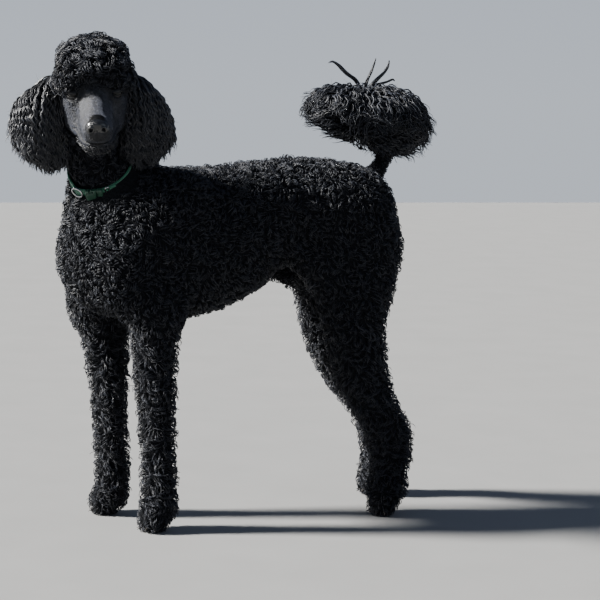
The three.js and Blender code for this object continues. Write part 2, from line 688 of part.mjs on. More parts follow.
function clawsOf(middle, heading) {
  const centre = new THREE.Vector3(...middle);
  return TOE_ANGLES.map((angle) => {
    const turn = new THREE.Quaternion().setFromAxisAngle(new THREE.Vector3(0, 0, 1), heading + angle)
      .multiply(new THREE.Quaternion().setFromAxisAngle(new THREE.Vector3(1, 0, 0), CLAW_DIP));
    const out = new THREE.Vector3(0, -1, 0).applyQuaternion(turn);
    const reach = reachOf(FLESH, centre, out.clone().setZ(0).normalize());
    const tip = centre.clone().addScaledVector(out.clone().setZ(0).normalize(), reach + CLAW_SHOWS);
    tip.z = CLAW_HEIGHT - CLAW_LENGTH * Math.sin(CLAW_DIP);
    const geometry = new THREE.ConeGeometry(CLAW_RADIUS, CLAW_LENGTH, 5);
    const flip = new THREE.Quaternion().setFromUnitVectors(new THREE.Vector3(0, 1, 0), out);
    const position = tip.addScaledVector(out, -CLAW_LENGTH / 2);
    const place = new THREE.Matrix4().compose(position, flip, new THREE.Vector3(1, 1, 1));
    return { geometry, place, solid: solidFrom(geometry, place) };
  });
}

for (const { name, paw, middle, heading } of paws) {
  let bare = paw;
  clawsOf(middle, heading).forEach(({ geometry, place, solid }, n) => {
    bare = bare.subtract(swollen(solid, GAP));
    addMesh(`claw_${name}_${n + 1}`, geometry, CLAW).applyMatrix4(place);
  });
  addSolid(name, bare, COAT);
}

// Ears hang against the head, the neck and the collar
for (const side of BOTH) {
  let hanging = solidOf(meshOf(fieldOf([ear(side)]), ...around(headCentre, REACH.ear), CELLS.ear));
  for (const neighbour of [headWhole, muzzleWhole, topknotWhole, neckWhole, trunkWhole, band]) {
    hanging = hanging.subtract(swollen(neighbour, GAP));
  }
  addSolid(`ear_${sideName(side)}`, hanging, COAT);
}

// Tail: the stem, and the plume with the few long cords that stand out of its parting
const plumeBody = solidOf(meshOf(fieldOf(PLUME), ...BOXES.plume, CELLS.plume));
const stem = within(solidOf(meshOf(FLESH, ...BOXES.stem, CELLS.stem)), [TAIL_ROOT])
  .subtract(swollen(plumeBody, GAP));
addSolid('tail_stem', stem, COAT);

// Each cord: its radius, and the points it passes, from inside the plume to its free tip
const CORDS = [
  [3.4, [[0, 262, 768], [2, 250, 789], [3, 242, 801], [5, 220, 812], [4, 207, 826], [6, 193, 833],
    [8, 183, 829]]],
  [2.4, [[-2, 264, 770], [-3, 267, 797], [1, 277, 821], [-1, 285, 842]]],
  [3.2, [[4, 268, 770], [5, 275, 793], [2, 300, 814], [4, 308, 827], [2, 311, 839]]],
  [2.4, [[0, 276, 768], [-6, 284, 792], [-8, 311, 798], [-5, 323, 804], [-8, 329, 800]]],
];
let plume = plumeBody;
for (const [radius, points] of CORDS) {
  const path = new THREE.CatmullRomCurve3(points.map((p) => new THREE.Vector3(...p)));
  const section = new THREE.Shape().absarc(0, 0, radius, 0, 2 * Math.PI);
  const cord = new THREE.ExtrudeGeometry(section, { extrudePath: path, steps: 7, curveSegments: 3 });
  plume = plume.add(solidFrom(cord));
}
addSolid('tail_plume', plume, COAT);

// The origin goes to the middle of the whole model's box, on the floor
poodle.updateMatrixWorld(true);
const box = new THREE.Box3().setFromObject(poodle, true);
const middle = box.getCenter(new THREE.Vector3());
poodle.position.set(-middle.x, -middle.y, 0);

export default poodle;
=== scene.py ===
# A black standard poodle in a short sporting clip: one skin, its curly coat, eyes, nose, claws and collar.
# The shapes are worked out in the solids' own millimetres, where the dog faces -Y and its left side is +X,
# and each piece is put into the frame, in metres, when it is made.
import math
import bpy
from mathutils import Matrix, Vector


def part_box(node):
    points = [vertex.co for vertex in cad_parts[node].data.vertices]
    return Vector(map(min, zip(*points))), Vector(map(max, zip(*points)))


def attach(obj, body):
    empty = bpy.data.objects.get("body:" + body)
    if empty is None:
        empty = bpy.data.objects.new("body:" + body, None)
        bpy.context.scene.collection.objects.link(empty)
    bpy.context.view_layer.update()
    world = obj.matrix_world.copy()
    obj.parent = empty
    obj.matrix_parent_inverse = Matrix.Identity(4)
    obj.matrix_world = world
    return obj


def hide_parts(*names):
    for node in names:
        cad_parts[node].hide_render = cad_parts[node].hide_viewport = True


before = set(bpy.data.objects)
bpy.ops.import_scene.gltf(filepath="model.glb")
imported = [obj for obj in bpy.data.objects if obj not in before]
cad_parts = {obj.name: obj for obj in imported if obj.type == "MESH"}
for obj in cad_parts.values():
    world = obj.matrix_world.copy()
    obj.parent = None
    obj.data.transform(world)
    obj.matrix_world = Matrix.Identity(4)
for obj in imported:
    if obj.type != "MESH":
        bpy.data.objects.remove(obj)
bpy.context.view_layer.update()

from types import SimpleNamespace

import bmesh
import bpy
import numpy as np
from mathutils import Matrix, Vector

MM = 0.001
DEGREE = math.pi / 180
SEED = 5097
LEFT, RIGHT = 1, -1
BOTH = (LEFT, RIGHT)
SIDE_NAME = {LEFT: "left", RIGHT: "right"}
UP = np.array([0.0, 0.0, 1.0])
DOWN = np.array([0.0, 0.0, -1.0])

# Driving dimensions of the body, over the coat, as in the solids
WITHERS = 640
CROUP = 660
BRISKET = 364
ELBOW = 362
SHOULDER_HALF = 72
HIP_HALF = 80
LEG_RADIUS = 34
WRIST_Y = {LEFT: -157, RIGHT: -196}
HOCK_Y = {LEFT: 304, RIGHT: 358}
HEEL_BACK = {LEFT: 0, RIGHT: 8}
PAW_TURN = 24 * DEGREE
EYE_RADIUS = 11
EYE_HALF = 35
EYE_HEIGHT = 8
EYE_SUNK = 9

# How far the skin lies below the tips of the coat
DEPTH = {
    "trunk": 9, "neck": 8, "leg": 9, "head": 4, "face": 2, "topknot": 14, "brow": 0, "ear": 9, "inner_ear": 4,
    "tail": 6, "plume": 12, "prepuce": 5,
}

# The head's own frame is the body's, turned: it faces -Y, and its left is +X
HEAD_CENTRE = np.array([46.0, -273.0, 770.0])
HEAD_TURN = 74 * DEGREE
HEAD_NOD = 14 * DEGREE
HEAD_ROLL = -4 * DEGREE
HEAD_AXES = np.array(
    Matrix.Rotation(HEAD_TURN, 3, "Z")
    @ Matrix.Rotation(HEAD_NOD, 3, "X")
    @ Matrix.Rotation(HEAD_ROLL, 3, "Y")
)


def into_head(points):
    return (points - HEAD_CENTRE) @ HEAD_AXES


def out_of_head(points):
    return np.asarray(points, float) @ HEAD_AXES.T + HEAD_CENTRE


def column(values):
    return np.asarray(values)[:, None]


def normalised(vectors):
    return vectors / np.maximum(np.linalg.norm(vectors, axis=-1, keepdims=True), 1e-9)


def in_plane(vectors, normals):
    return normalised(vectors - (vectors * normals).sum(1, keepdims=True) * normals)


def swung(first, second, angles):
    """Vectors an angle each from a first axis towards a second one at right angles to it."""
    return column(np.cos(angles)) * first + column(np.sin(angles)) * second


def turned(vectors, normals, angles):
    """Vectors in the skin's plane, turned in it by an angle each."""
    return swung(vectors, np.cross(normals, vectors), angles)


def smoothstep(low, high, values):
    t = np.clip((values - low) / (high - low), 0, 1)
    return t * t * (3 - 2 * t)


def bell(*offsets):
    """1 where every offset is 0, falling away smoothly round there."""
    return np.exp(-sum(offset**2 for offset in offsets))


def blended(a, b, softness):
    """The smaller of two distances, with a soft seam where they meet."""
    overlap = np.maximum(softness - np.abs(a - b), 0) / softness
    return np.minimum(a, b) - overlap**2 * softness * 0.25


# Limbs and fields: the same shapes as the solids, with the coat's depth taken off

STEPS = 4                       # straight stretches between two stations of a curved limb
MARGIN = 60                     # how far round a limb its distance is worked out
FAR = 1000.0                    # and the distance given further out
LEAST_SLOPE = 0.3               # a field's slope is taken as no less than this


class Limb:
    """A string of stations: x, y, z, half width, half depth, and half height where it differs."""

    def __init__(self, stations, softness, in_head=False):
        full = np.array([list(s[:5]) + [s[5] if len(s) > 5 else s[4]] for s in stations], float)
        self.fine = self.curved(full) if len(full) > 2 else full
        self.softness = softness
        self.in_head = in_head
        reach = self.fine[:, 3:].max(0) + MARGIN
        self.low = self.fine[:, :3].min(0) - reach
        self.high = self.fine[:, :3].max(0) + reach

    @staticmethod
    def curved(stations):
        fine = []
        last = len(stations) - 1
        for i in range(last):
            a, b = stations[max(i - 1, 0)], stations[i]
            c, d = stations[i + 1], stations[min(i + 2, last)]
            for k in range(STEPS):
                t = k / STEPS
                cubic = 2 * a - 5 * b + 4 * c - d + t * (3 * (b - c) + d - a)
                fine.append(b + 0.5 * t * (c - a + t * cubic))
        fine.append(stations[last])
        return np.array(fine)

    def distance(self, points):
        """Distance to an ellipsoid that slides from station to station while its size changes."""
        local = into_head(points) if self.in_head else points
        near = np.all((local > self.low) & (local < self.high), axis=1)
        place = local[near]
        best = np.full(len(place), FAR)
        for a, b in zip(self.fine, self.fine[1:]):
            way = b[:3] - a[:3]
            t = column(np.clip((place - a[:3]) @ way / max(way @ way, 1e-9), 0, 1))
            half = a[3:] + t * (b[3:] - a[3:])
            scaled = (place - a[:3] - t * way) / half
            size = np.linalg.norm(scaled, axis=1)
            slope = np.maximum(np.linalg.norm(scaled / half, axis=1), 1e-6)
            np.minimum(best, size * (size - 1) / slope, out=best)
        own = np.full(len(points), FAR)
        own[near] = best
        return own


def sided(side, stations, softness, in_head=False):
    """A limb of one side, from the stations of the left one."""
    return Limb([[side * x, *rest] for x, *rest in stations], softness, in_head)


def head_pair(stations, softness):
    return [sided(side, stations, softness, True) for side in BOTH]


def entries(limbs, depth, region=""):
    """Limbs for a field, with the depth that their surface is moved in by and the region they are in."""
    return [(limb, depth, region) for limb in limbs]


class Field:
    """Entries blended together: negative inside, positive outside, in millimetres near the surface."""

    def __init__(self, parts, detail=None):
        self.parts = parts
        self.detail = detail

    def __call__(self, points):
        total = np.full(len(points), FAR)
        for limb, depth, _ in self.parts:
            total = blended(total, limb.distance(points) + depth, limb.softness)
        return self.detail(points, total) if self.detail else total

    def slope(self, points, step=0.5):
        here = self(points)
        moved = [self(points + step * axis) for axis in np.eye(3)]
        return here, np.stack([(value - here) / step for value in moved], axis=1)

    def normals(self, points):
        return normalised(self.slope(points)[1])

    def drawn_onto(self, points, reach, rounds=2):
        """Points moved along the slope onto the surface, by no more than the given reach each time."""
        for _ in range(rounds):
            value, slope = self.slope(points)
            steep = np.maximum(np.linalg.norm(slope, axis=1), LEAST_SLOPE)
            move = np.clip(value / steep, -reach, reach) / steep
            points = points - column(move) * slope
        return points

    def regions(self, points):
        """The region of the limb that each point lies nearest to."""
        names = np.array([region for _, _, region in self.parts])
        own = np.stack([limb.distance(points) + depth for limb, depth, _ in self.parts])
        return names[own.argmin(0)]


LONGEST_REACH = 300.0
HALVINGS = 24


def reach_of(field, start, direction):
    """How far it is from a point inside a field to its surface, along a direction."""
    near, far = 0.0, LONGEST_REACH
    for _ in range(HALVINGS):
        half = (near + far) / 2
        if field(np.array([start + direction * half]))[0] < 0:
            near = half
        else:
            far = half
    return near


TRUNK = Limb([
    [0, -214, 480, 96, 108],
    [0, -165, 500, 110, 134],
    [0, -100, (WITHERS + BRISKET) / 2, 114, (WITHERS - BRISKET) / 2],
    [0, -20, 518, 114, 125],
    [0, 60, 562, 104, 92],
    [0, 140, 570, 98, CROUP - 570],
    [0, 212, 558, 96, 92],
], 30)
PREPUCE = Limb([[0, 80, 458, 14, 20], [0, 120, 436, 14, 15, 21]], 16)
NECK = Limb([
    [0, -212, 566, 84, 90],
    [8, -250, 634, 60, 58],
    [20, -268, 695, 53, 51],
    [38, -272, 748, 52, 56],
], 50)
TAIL_STEM = Limb([[0, 270, 612, 27, 27], [0, 304, 652, 18, 18], [0, 308, 712, 15, 16]], 22)
PLUME = [
    Limb([[0, 212, 749, 76, 60, 42], [0, 314, 732, 84, 66, 53]], 30),
    Limb([[0, 276, 734, 90, 74, 50], [0, 328, 710, 66, 44, 49]], 40),
]
HEAD_BACK = Limb([[0, 0, 4, 48, 60, 50], [0, -20, 2, 46, 52, 44]], 20, True)
FACE = [
    Limb([[0, -40, -10, 40, 34, 36], [0, -96, -28, 31, 28, 28], [0, -132, -36, 27, 20, 23]], 26, True),
    Limb([[0, -24, -44, 40, 34, 26], [0, -84, -58, 33, 26, 20], [0, -114, -64, 26, 18, 17]], 22, True),
    *head_pair([[34, -26, -12, 16, 30, 26], [30, -30, -40, 15, 30, 24]], 24),
]
TOPKNOT = [
    Limb([[0, 14, 51, 67, 62, 46], [0, -22, 51, 65, 52, 44]], 20, True),
    Limb([[-26, -54, 50, 28, 24, 20], [26, -54, 50, 28, 24, 20]], 26, True),
    *head_pair([[50, -40, 40, 18, 20, 22], [54, -26, 22, 16, 22, 22]], 16),
]
BROWS = head_pair([[15, -58, 42, 14, 13, 12], [34, -55, 31, 14, 13, 11], [50, -42, 25, 15, 14, 13]], 12)

# Where the elbow and the breast beside it stand along the body, and their half depths
ELBOWS = {LEFT: (-164, 50), RIGHT: (-216, 56)}
BREASTS = {LEFT: (-165, 48), RIGHT: (-214, 62)}


def side_entries(side):
    """The limbs of one side: flank, shoulder and foreleg, then buttock, haunch and hind leg."""
    wrist, hock = WRIST_Y[side], HOCK_Y[side]
    heel = hock + HEEL_BACK[side]
    elbow_y, elbow_deep = ELBOWS[side]
    breast_y, breast_deep = BREASTS[side]
    flank = sided(side, [[48, 100, 496, 38, 30], [60, 160, 456, 38, 40]], 30)
    shoulder = sided(side, [
        [62, -115, 576, 44, 50],
        [72, -212, 466, 42, 62],
        [76, breast_y, 400, 42, breast_deep],
    ], 40)
    foreleg = sided(side, [
        [74, elbow_y, ELBOW + 20, 41, elbow_deep],
        [SHOULDER_HALF + 2, wrist - 8, 300, 37, 42],
        [SHOULDER_HALF, wrist, 170, LEG_RADIUS - 2, LEG_RADIUS - 1],
        [SHOULDER_HALF, wrist + 5, 85, LEG_RADIUS - 1, LEG_RADIUS],
    ], 35)
    fore_paw = sided(side, [
        [SHOULDER_HALF, wrist + 6, 40, 34, 35, 46],
        [SHOULDER_HALF + 6, wrist - 7, 24, 33, 33, 37],
    ], 24)
    buttock = sided(side, [[42, 242, 560, 52, 52], [54, 254, 500, 48, 54]], 50)
    haunch = sided(side, [
        [52, 200, 555, 60, 86],
        [66, hock * 0.3 + 132, 465, 53, 86],
        [76, hock * 0.4 + 96, 365, 47, 66],
        [80, hock * 0.65 + 37, 270, 41, 54],
        [HIP_HALF, hock - 30, 185, 35, 40],
    ], 45)
    shank = sided(side, [
        [HIP_HALF, hock - 8, 150, 34, 46],
        [HIP_HALF, hock - 4, 122, 34, 44],
        [HIP_HALF, heel - 8, 60, 34, 36],
    ], 25)
    hind_paw = sided(side, [
        [HIP_HALF, heel - 14, 38, 34, 34, 44],
        [HIP_HALF + 6, heel - 22, 24, 33, 33, 36],
    ], 24)
    name = SIDE_NAME[side]
    return [
        *entries([flank, shoulder], DEPTH["trunk"], "trunk"),
        *entries([foreleg, fore_paw], DEPTH["leg"], f"foreleg_{name}"),
        *entries([buttock], DEPTH["trunk"], "trunk"),
        *entries([haunch, shank, hind_paw], DEPTH["leg"], f"hind_leg_{name}"),
    ]


def ear_mass(side):
    """An ear's hair, with more between it and the head. The right ear's, on the windward side, is blown
    out a little fuller."""
    fuller = 0 if side == LEFT else 1
    outer = sided(side, [
        [60 + 6 * fuller, 2, 10, 28 + 2 * fuller, 32, 25],
        [84 + 11 * fuller, -3, -35, 42 + 8 * fuller, 38],
        [90 + 5 * fuller, -4, -82, 49 + 2 * fuller, 42, 37],
        [76, -4, -107, 38, 38, 33],
    ], 20, True)
    inner = sided(side, [[48, 6, -28, 16, 24, 20], [54, 4, -84, 18, 26, 24]], 20, True)
    name = f"ear_{SIDE_NAME[side]}"
    return Field([*entries([outer], DEPTH["ear"], name), *entries([inner], DEPTH["inner_ear"], name)])


BODY = [
    *entries([TRUNK], DEPTH["trunk"], "trunk"),
    *entries([PREPUCE], DEPTH["prepuce"], "trunk"),
    *entries([NECK], DEPTH["neck"], "neck"),
    *entries([HEAD_BACK], DEPTH["head"], "head"),
    *entries([TAIL_STEM], DEPTH["tail"], "tail_stem"),
    *side_entries(LEFT),
    *side_entries(RIGHT),
]
OUTLINE = Field(entries([TRUNK, NECK, HEAD_BACK, *FACE], 0))
TOPKNOT_PARTS = entries(TOPKNOT, DEPTH["topknot"], "topknot") + entries(BROWS, DEPTH["brow"], "topknot")
PLUME_MASS = Field(entries(PLUME, DEPTH["plume"], "plume"))
EAR_MASS = {side: ear_mass(side) for side in BOTH}

# Eyes: placed where the face is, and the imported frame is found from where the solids' eyes are
FORWARD = out_of_head([0, -1, 0]) - HEAD_CENTRE
EYES = {}
for side in BOTH:
    inside = out_of_head([side * EYE_HALF, 0, EYE_HEIGHT])
    EYES[side] = inside + FORWARD * (reach_of(OUTLINE, inside, FORWARD) - EYE_SUNK)
eye_low, eye_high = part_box("eye_left")
SHIFT = np.array((Vector(eye_low) + Vector(eye_high)) / 2) - EYES[LEFT] * MM
SHIFT[2] = 0.0


def from_eyes(points):
    """How far points are from the middle of the nearer eye."""
    return np.minimum(*[np.linalg.norm(points - EYES[side], axis=1) for side in BOTH])


def lid_gaze(side):
    """The way that an eye's lids face, in the head's own frame."""
    return normalised(np.array([side * 0.42, -0.9, 0.02]))


def axes_of(gaze):
    """The axes across a gaze and upward from it."""
    across = normalised(np.cross(UP, gaze))
    return across, np.cross(gaze, across)


# The collar: a band that follows the neck, lower at the throat
COLLAR_CENTRE = np.array([13.0, -254.0, 634.0])
COLLAR_AXIS = normalised(np.array([0.55, -0.42, 0.72]))
COLLAR_WIDTH = 20.0
COLLAR_THICKNESS = 3.2
COLLAR_SUNK = 4.0               # how far its outer face lies below the tips of the coat
COLLAR_REACH = 62.0             # but no further from its middle than this, round the neck itself
COLLAR_NEAR = 150               # nothing further from its middle than this is parted by it
COLLAR_ROOM = 1.2               # between the strap's inner face and the skin
GROOVE_DEPTH = 10.0
COLLAR_ANGLES = np.linspace(-math.pi, math.pi, 61)
COLLAR_TURN = np.array(Vector((0, 0, 1)).rotation_difference(Vector(COLLAR_AXIS)).to_matrix())
COLLAR_WAYS = [COLLAR_TURN @ [math.cos(a), math.sin(a), 0] for a in COLLAR_ANGLES]
COLLAR_RADII = np.array([
    min(reach_of(OUTLINE, COLLAR_CENTRE, way) - COLLAR_SUNK, COLLAR_REACH) for way in COLLAR_WAYS
])


def collar_radius(angle):
    """The radius of the strap's outer face at an angle, in radians, about its axis."""
    return np.interp((angle + math.pi) % (2 * math.pi) - math.pi, COLLAR_ANGLES, COLLAR_RADII)


def on_collar(along, out, across=0.0, start=0.0):
    """Points on the strap: the distance along it from an angle, out of its face, and across it."""
    angle = start + np.asarray(along) / COLLAR_REACH
    radius = collar_radius(angle) + out
    across = np.broadcast_to(across, np.shape(radius))
    local = np.stack([radius * np.cos(angle), radius * np.sin(angle), across], -1)
    return local @ COLLAR_TURN.T + COLLAR_CENTRE


def collar_place(points):
    """How far points lie along the collar's axis, and out from the strap's outer face."""
    local = (points - COLLAR_CENTRE) @ COLLAR_TURN
    out = np.hypot(local[:, 0], local[:, 1]) - collar_radius(np.arctan2(local[:, 1], local[:, 0]))
    return local[:, 2], out


def collar_groove(points, total):
    """The flesh parted under the strap, no deeper than a coat's depth."""
    near = np.linalg.norm(points - COLLAR_CENTRE, axis=1) < COLLAR_NEAR
    across, out = collar_place(points[near])
    groove = np.minimum(COLLAR_WIDTH / 2 + 1 - np.abs(across), out + COLLAR_THICKNESS + COLLAR_ROOM)
    result = total.copy()
    result[near] = np.maximum(total[near], np.minimum(groove, total[near] + GROOVE_DEPTH))
    return result


# The face's detail, in the head's own frame
DETAIL_LOW, DETAIL_HIGH = [-62, -165, -100], [62, -10, 45]
LID_THICKNESS = 0.8
LID_BLEND = 13
LID_TILT = 0.14                 # how steeply the line of the lids rises outward
OPENING_HALF = 10.5             # half width and half height of the hole that the lids close
OPENING_HEIGHT = 6.5
SOCKET_GAP = 0.9                # how far in front of the hole's floor the eyeball's face stands
MOUTH_HEIGHT = -56
MOUTH_SLOPE = 0.1
MOUTH_CORNER = -62
# The lips' furrows: depth, built up where it is below 0, height over the mouth's line, and width
FURROWS = [(2.6, 0, 1.7), (-1.3, 5.5, 4.2), (-0.8, -5, 3.4)]


def face_detail(points, total):
    """Eye sockets, lips, bridge, stop and the groove under the nose, cut into and built onto the face."""
    local = into_head(points)
    near = np.all((local > DETAIL_LOW) & (local < DETAIL_HIGH), axis=1)
    x, y, z = local[near].T
    value = total[near].copy()
    for side in BOTH:
        gaze = lid_gaze(side)
        across, upward = axes_of(gaze)
        offset = local[near] - into_head(EYES[side])
        away = np.linalg.norm(offset, axis=1)
        u, v, w = offset @ across * side, offset @ upward, offset @ gaze
        value = blended(value, away - (EYE_RADIUS + LID_THICKNESS), LID_BLEND)
        almond = np.abs(v - LID_TILT * u) - OPENING_HEIGHT * (1 - (u / OPENING_HALF) ** 2)
        opening = np.maximum(np.maximum(almond * 0.8, EYE_RADIUS - SOCKET_GAP - away), 2 - w)
        value = np.maximum(value, -opening)
    # The mouth: a line from under the nose back to the corners, with the upper lip full above it
    line = MOUTH_HEIGHT + MOUTH_SLOPE * (y + 140)
    along = smoothstep(MOUTH_CORNER + 8, MOUTH_CORNER - 6, y)
    for depth, over, width in FURROWS:
        value += along * depth * bell((z - line - over) / width)
    # The groove under the nose
    front = smoothstep(-128, -138, y) * smoothstep(MOUTH_HEIGHT, MOUTH_HEIGHT + 3, z)
    value += front * 1.3 * bell(x / 1.3)
    # The bridge: a ridge between two shallow hollows
    beside = smoothstep(-56, -74, y) * smoothstep(-126, -108, y) * smoothstep(-40, -22, z)
    value += 3.4 * bell((np.abs(x) - 21) / 8) * beside
    # The hollow of the stop, between the eyes, and the flat sides of the muzzle under them
    value += 1.6 * bell(x / 9, (y + 62) / 16) * smoothstep(-8, 6, z)
    value += 2.2 * bell((np.abs(x) - 30) / 8, (y + 72) / 13, (z + 20) / 12)
    result = total.copy()
    result[near] = value
    return result


SKIN_PARTS = [*BODY, *entries(FACE, DEPTH["face"], "face"), *TOPKNOT_PARTS, *PLUME_MASS.parts,
              *EAR_MASS[LEFT].parts, *EAR_MASS[RIGHT].parts]
SKIN_FIELD = Field(SKIN_PARTS, collar_groove)
SKIN_DETAIL = Field(SKIN_PARTS, face_detail)

# Meshing

CORNERS = np.array([[c & 1, (c >> 1) & 1, (c >> 2) & 1] for c in range(8)])
EDGES = [(m, n) for m in range(8) for n in range(m + 1, 8) if np.abs(CORNERS[m] - CORNERS[n]).sum() == 1]


def surface_net(field, low, high, cell):
    """A closed mesh round the negative part of a field: a vertex in each cell of a grid that the
    surface crosses, and a quad across each crossed edge."""
    counts = np.ceil((np.array(high) - low) / cell).astype(int) + 1
    grid = np.stack(np.meshgrid(*[np.arange(n) for n in counts], indexing="ij"), -1).reshape(-1, 3)
    values = field(low + grid * float(cell)).reshape(counts)
    inside = values < 0
    total = sum(inside[tuple(slice(o, n - 1 + o) for o, n in zip(c, counts))].astype(int) for c in CORNERS)
    cells = np.argwhere((total > 0) & (total < 8))
    corner_values = np.stack([values[tuple((cells + c).T)] for c in CORNERS], 1)
    place = np.zeros((len(cells), 3))
    crossed = np.zeros(len(cells))
    for m, n in EDGES:
        va, vb = corner_values[:, m], corner_values[:, n]
        hit = (va < 0) != (vb < 0)
        t = va / np.where(hit, va - vb, 1)
        place += np.where(column(hit), CORNERS[m] + column(t) * (CORNERS[n] - CORNERS[m]), 0)
        crossed += hit
    number = np.full(counts, -1)
    number[tuple(cells.T)] = np.arange(len(cells))
    quads = []
    for axis in range(3):
        step = np.eye(3, dtype=int)
        u, v = step[(axis + 1) % 3], step[(axis + 2) % 3]
        first = inside[tuple(slice(0, -1) if a == axis else slice(None) for a in range(3))]
        second = inside[tuple(slice(1, None) if a == axis else slice(None) for a in range(3))]
        at = np.argwhere(first != second)
        ring = np.stack([number[tuple((at - o).T)] for o in (0 * u, u, u + v, v)], 1)
        from_outside = ~inside[tuple(at.T)]
        ring[from_outside] = ring[from_outside, ::-1]
        quads.append(ring)
    return low + cell * (cells + place / column(crossed)), np.concatenate(quads)


def shown(name, data):
    """An object of the given mesh, light or camera, in the scene."""
    made = bpy.data.objects.new(name, data)
    bpy.context.scene.collection.objects.link(made)
    return made


def make_piece(name, points, faces, materials, slot, smooth=True):
    """A mesh piece from millimetres of the design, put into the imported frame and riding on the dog."""
    mesh = bpy.data.meshes.new(name)
    place = np.asarray(points, float) * MM + SHIFT
    if isinstance(faces, np.ndarray):
        sides = faces.shape[1]
        mesh.vertices.add(len(place))
        mesh.vertices.foreach_set("co", place.astype(np.float32).ravel())
        mesh.loops.add(faces.size)
        mesh.loops.foreach_set("vertex_index", faces.astype(np.int32).ravel())
        mesh.polygons.add(len(faces))
        mesh.polygons.foreach_set("loop_start", np.arange(0, faces.size, sides, dtype=np.int32))
        mesh.update(calc_edges=True)
    else:
        mesh.from_pydata(place.tolist(), [], faces)
    mesh.polygons.foreach_set("use_smooth", np.full(len(mesh.polygons), smooth))
    for material in materials:
        mesh.materials.append(material)
    mesh.update()
    piece = shown(name, mesh)
    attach(piece, "root")
    return piece


def set_layer(mesh, name, values, kind="FLOAT"):
    """A number or a vector at each point of a mesh, which its material reads by name."""
    layer = mesh.attributes.new(name, kind, "POINT")
    layer.data.foreach_set("value" if kind == "FLOAT" else "vector", values.astype(np.float32).ravel())


def refined(points, faces, chosen, cuts):
    """The same mesh with the chosen faces cut finer."""
    bm = bmesh.new()
    made = [bm.verts.new(p) for p in points]
    for face in faces:
        bm.faces.new([made[i] for i in face])
    bm.faces.ensure_lookup_table()
    edges = {edge for i in np.flatnonzero(chosen) for edge in bm.faces[i].edges}
    bmesh.ops.subdivide_edges(bm, edges=list(edges), cuts=cuts, use_grid_fill=True)
    bm.verts.index_update()
    new_points = np.array([v.co for v in bm.verts])
    new_faces = [[v.index for v in f.verts] for f in bm.faces]
    bm.free()
    return new_points, new_faces


def centres_of(points, faces):
    return np.array([points[face].mean(0) for face in faces])


# Materials

def fill(made, inputs):
    """A node's inputs: a socket is linked to the input, and anything else is set on the input itself."""
    for key, value in inputs.items():
        if isinstance(value, bpy.types.NodeSocket):
            made.id_data.links.new(value, made.inputs[key])
        else:
            made.inputs[key].default_value = value


def node(tree, kind, inputs, **settings):
    made = tree.nodes.new("ShaderNode" + kind)
    for key, value in settings.items():
        setattr(made, key, value)
    fill(made, inputs)
    return made


def principled(name, **values):
    """A material, its node tree and its shader, with constants set on the shader's own sockets."""
    made = bpy.data.materials.new(name)
    made.use_nodes = True
    shader = made.node_tree.nodes["Principled BSDF"]
    fill(shader, {key.replace("_", " "): value for key, value in values.items()})
    return made, made.node_tree, shader


def coordinates(tree):
    made = tree.nodes.get("Texture Coordinate") or node(tree, "TexCoord", {})
    return made.outputs["Object"]


def attribute(tree, name, output="Fac"):
    return node(tree, "Attribute", {}, attribute_name=name).outputs[output]


def noise(tree, scale, detail=3.0, roughness=0.55, vector=None):
    inputs = {"Vector": vector or coordinates(tree), "Scale": scale, "Detail": detail, "Roughness": roughness}
    return node(tree, "TexNoise", inputs).outputs["Fac"]


def ramp(tree, fac, *stops):
    made = node(tree, "ValToRGB", {"Fac": fac})
    elements = made.color_ramp.elements
    while len(elements) < len(stops):
        elements.new(0.5)
    for element, (at, colour) in zip(elements, stops):
        element.position = at
        element.color = (*colour, 1)
    return made.outputs["Color"]


def mixed(tree, fac, a, b, blend="MIX"):
    return node(tree, "Mix", {0: fac, 6: a, 7: b}, data_type="RGBA", blend_type=blend).outputs[2]


def maths(tree, operation, *values):
    return node(tree, "Math", dict(enumerate(values)), operation=operation).outputs[0]


def ranged(tree, value, low, high):
    return node(tree, "MapRange", {"Value": value, "To Min": low, "To Max": high}).outputs["Result"]


def bump(tree, height, strength, distance, under=None):
    inputs = {"Height": height, "Strength": strength, "Distance": distance}
    if under is not None:
        inputs["Normal"] = under
    return node(tree, "Bump", inputs).outputs["Normal"]


def grained(name, grain, dark, light, bumped=None, finer=None, rough=None, **values):
    """A material whose colour follows a grain of noise, given by scale, detail and roughness, between two
    stops. The same grain, or a finer one, can raise bump by a strength and a distance, and the grain can
    move the shader's roughness over a range."""
    made, tree, shader = principled(name, **values)
    fac = noise(tree, *grain)
    fill(shader, {"Base Color": ramp(tree, fac, dark, light)})
    if bumped:
        height = noise(tree, *finer) if finer else fac
        fill(shader, {"Normal": bump(tree, height, *bumped)})
    if rough:
        fill(shader, {"Roughness": ranged(tree, fac, *rough)})
    return made


def hair_material(name, dark, light, roughness, gloss=0.32):
    """Hair: each tuft has its own tone, darkened towards its root as painted shade, with fine strands along
    it as bump.
    """
    made, tree, shader = principled(name, Roughness=roughness, Specular_IOR_Level=gloss, Sheen_Weight=0.05,
                                    Sheen_Roughness=0.4, Sheen_Tint=(0.7, 0.78, 1.0, 1))
    streaks = noise(tree, 1.0, 2, 0.6, attribute(tree, "strand", "Vector"))
    # the tone read here carries the painted shade at each tuft's root
    tone = maths(tree, "MULTIPLY", attribute(tree, "shade"), streaks)
    fill(shader, {"Base Color": ramp(tree, tone, (0.08, dark), (0.5, light)),
                  "Normal": bump(tree, streaks, 0.6, 0.0006)})
    return made


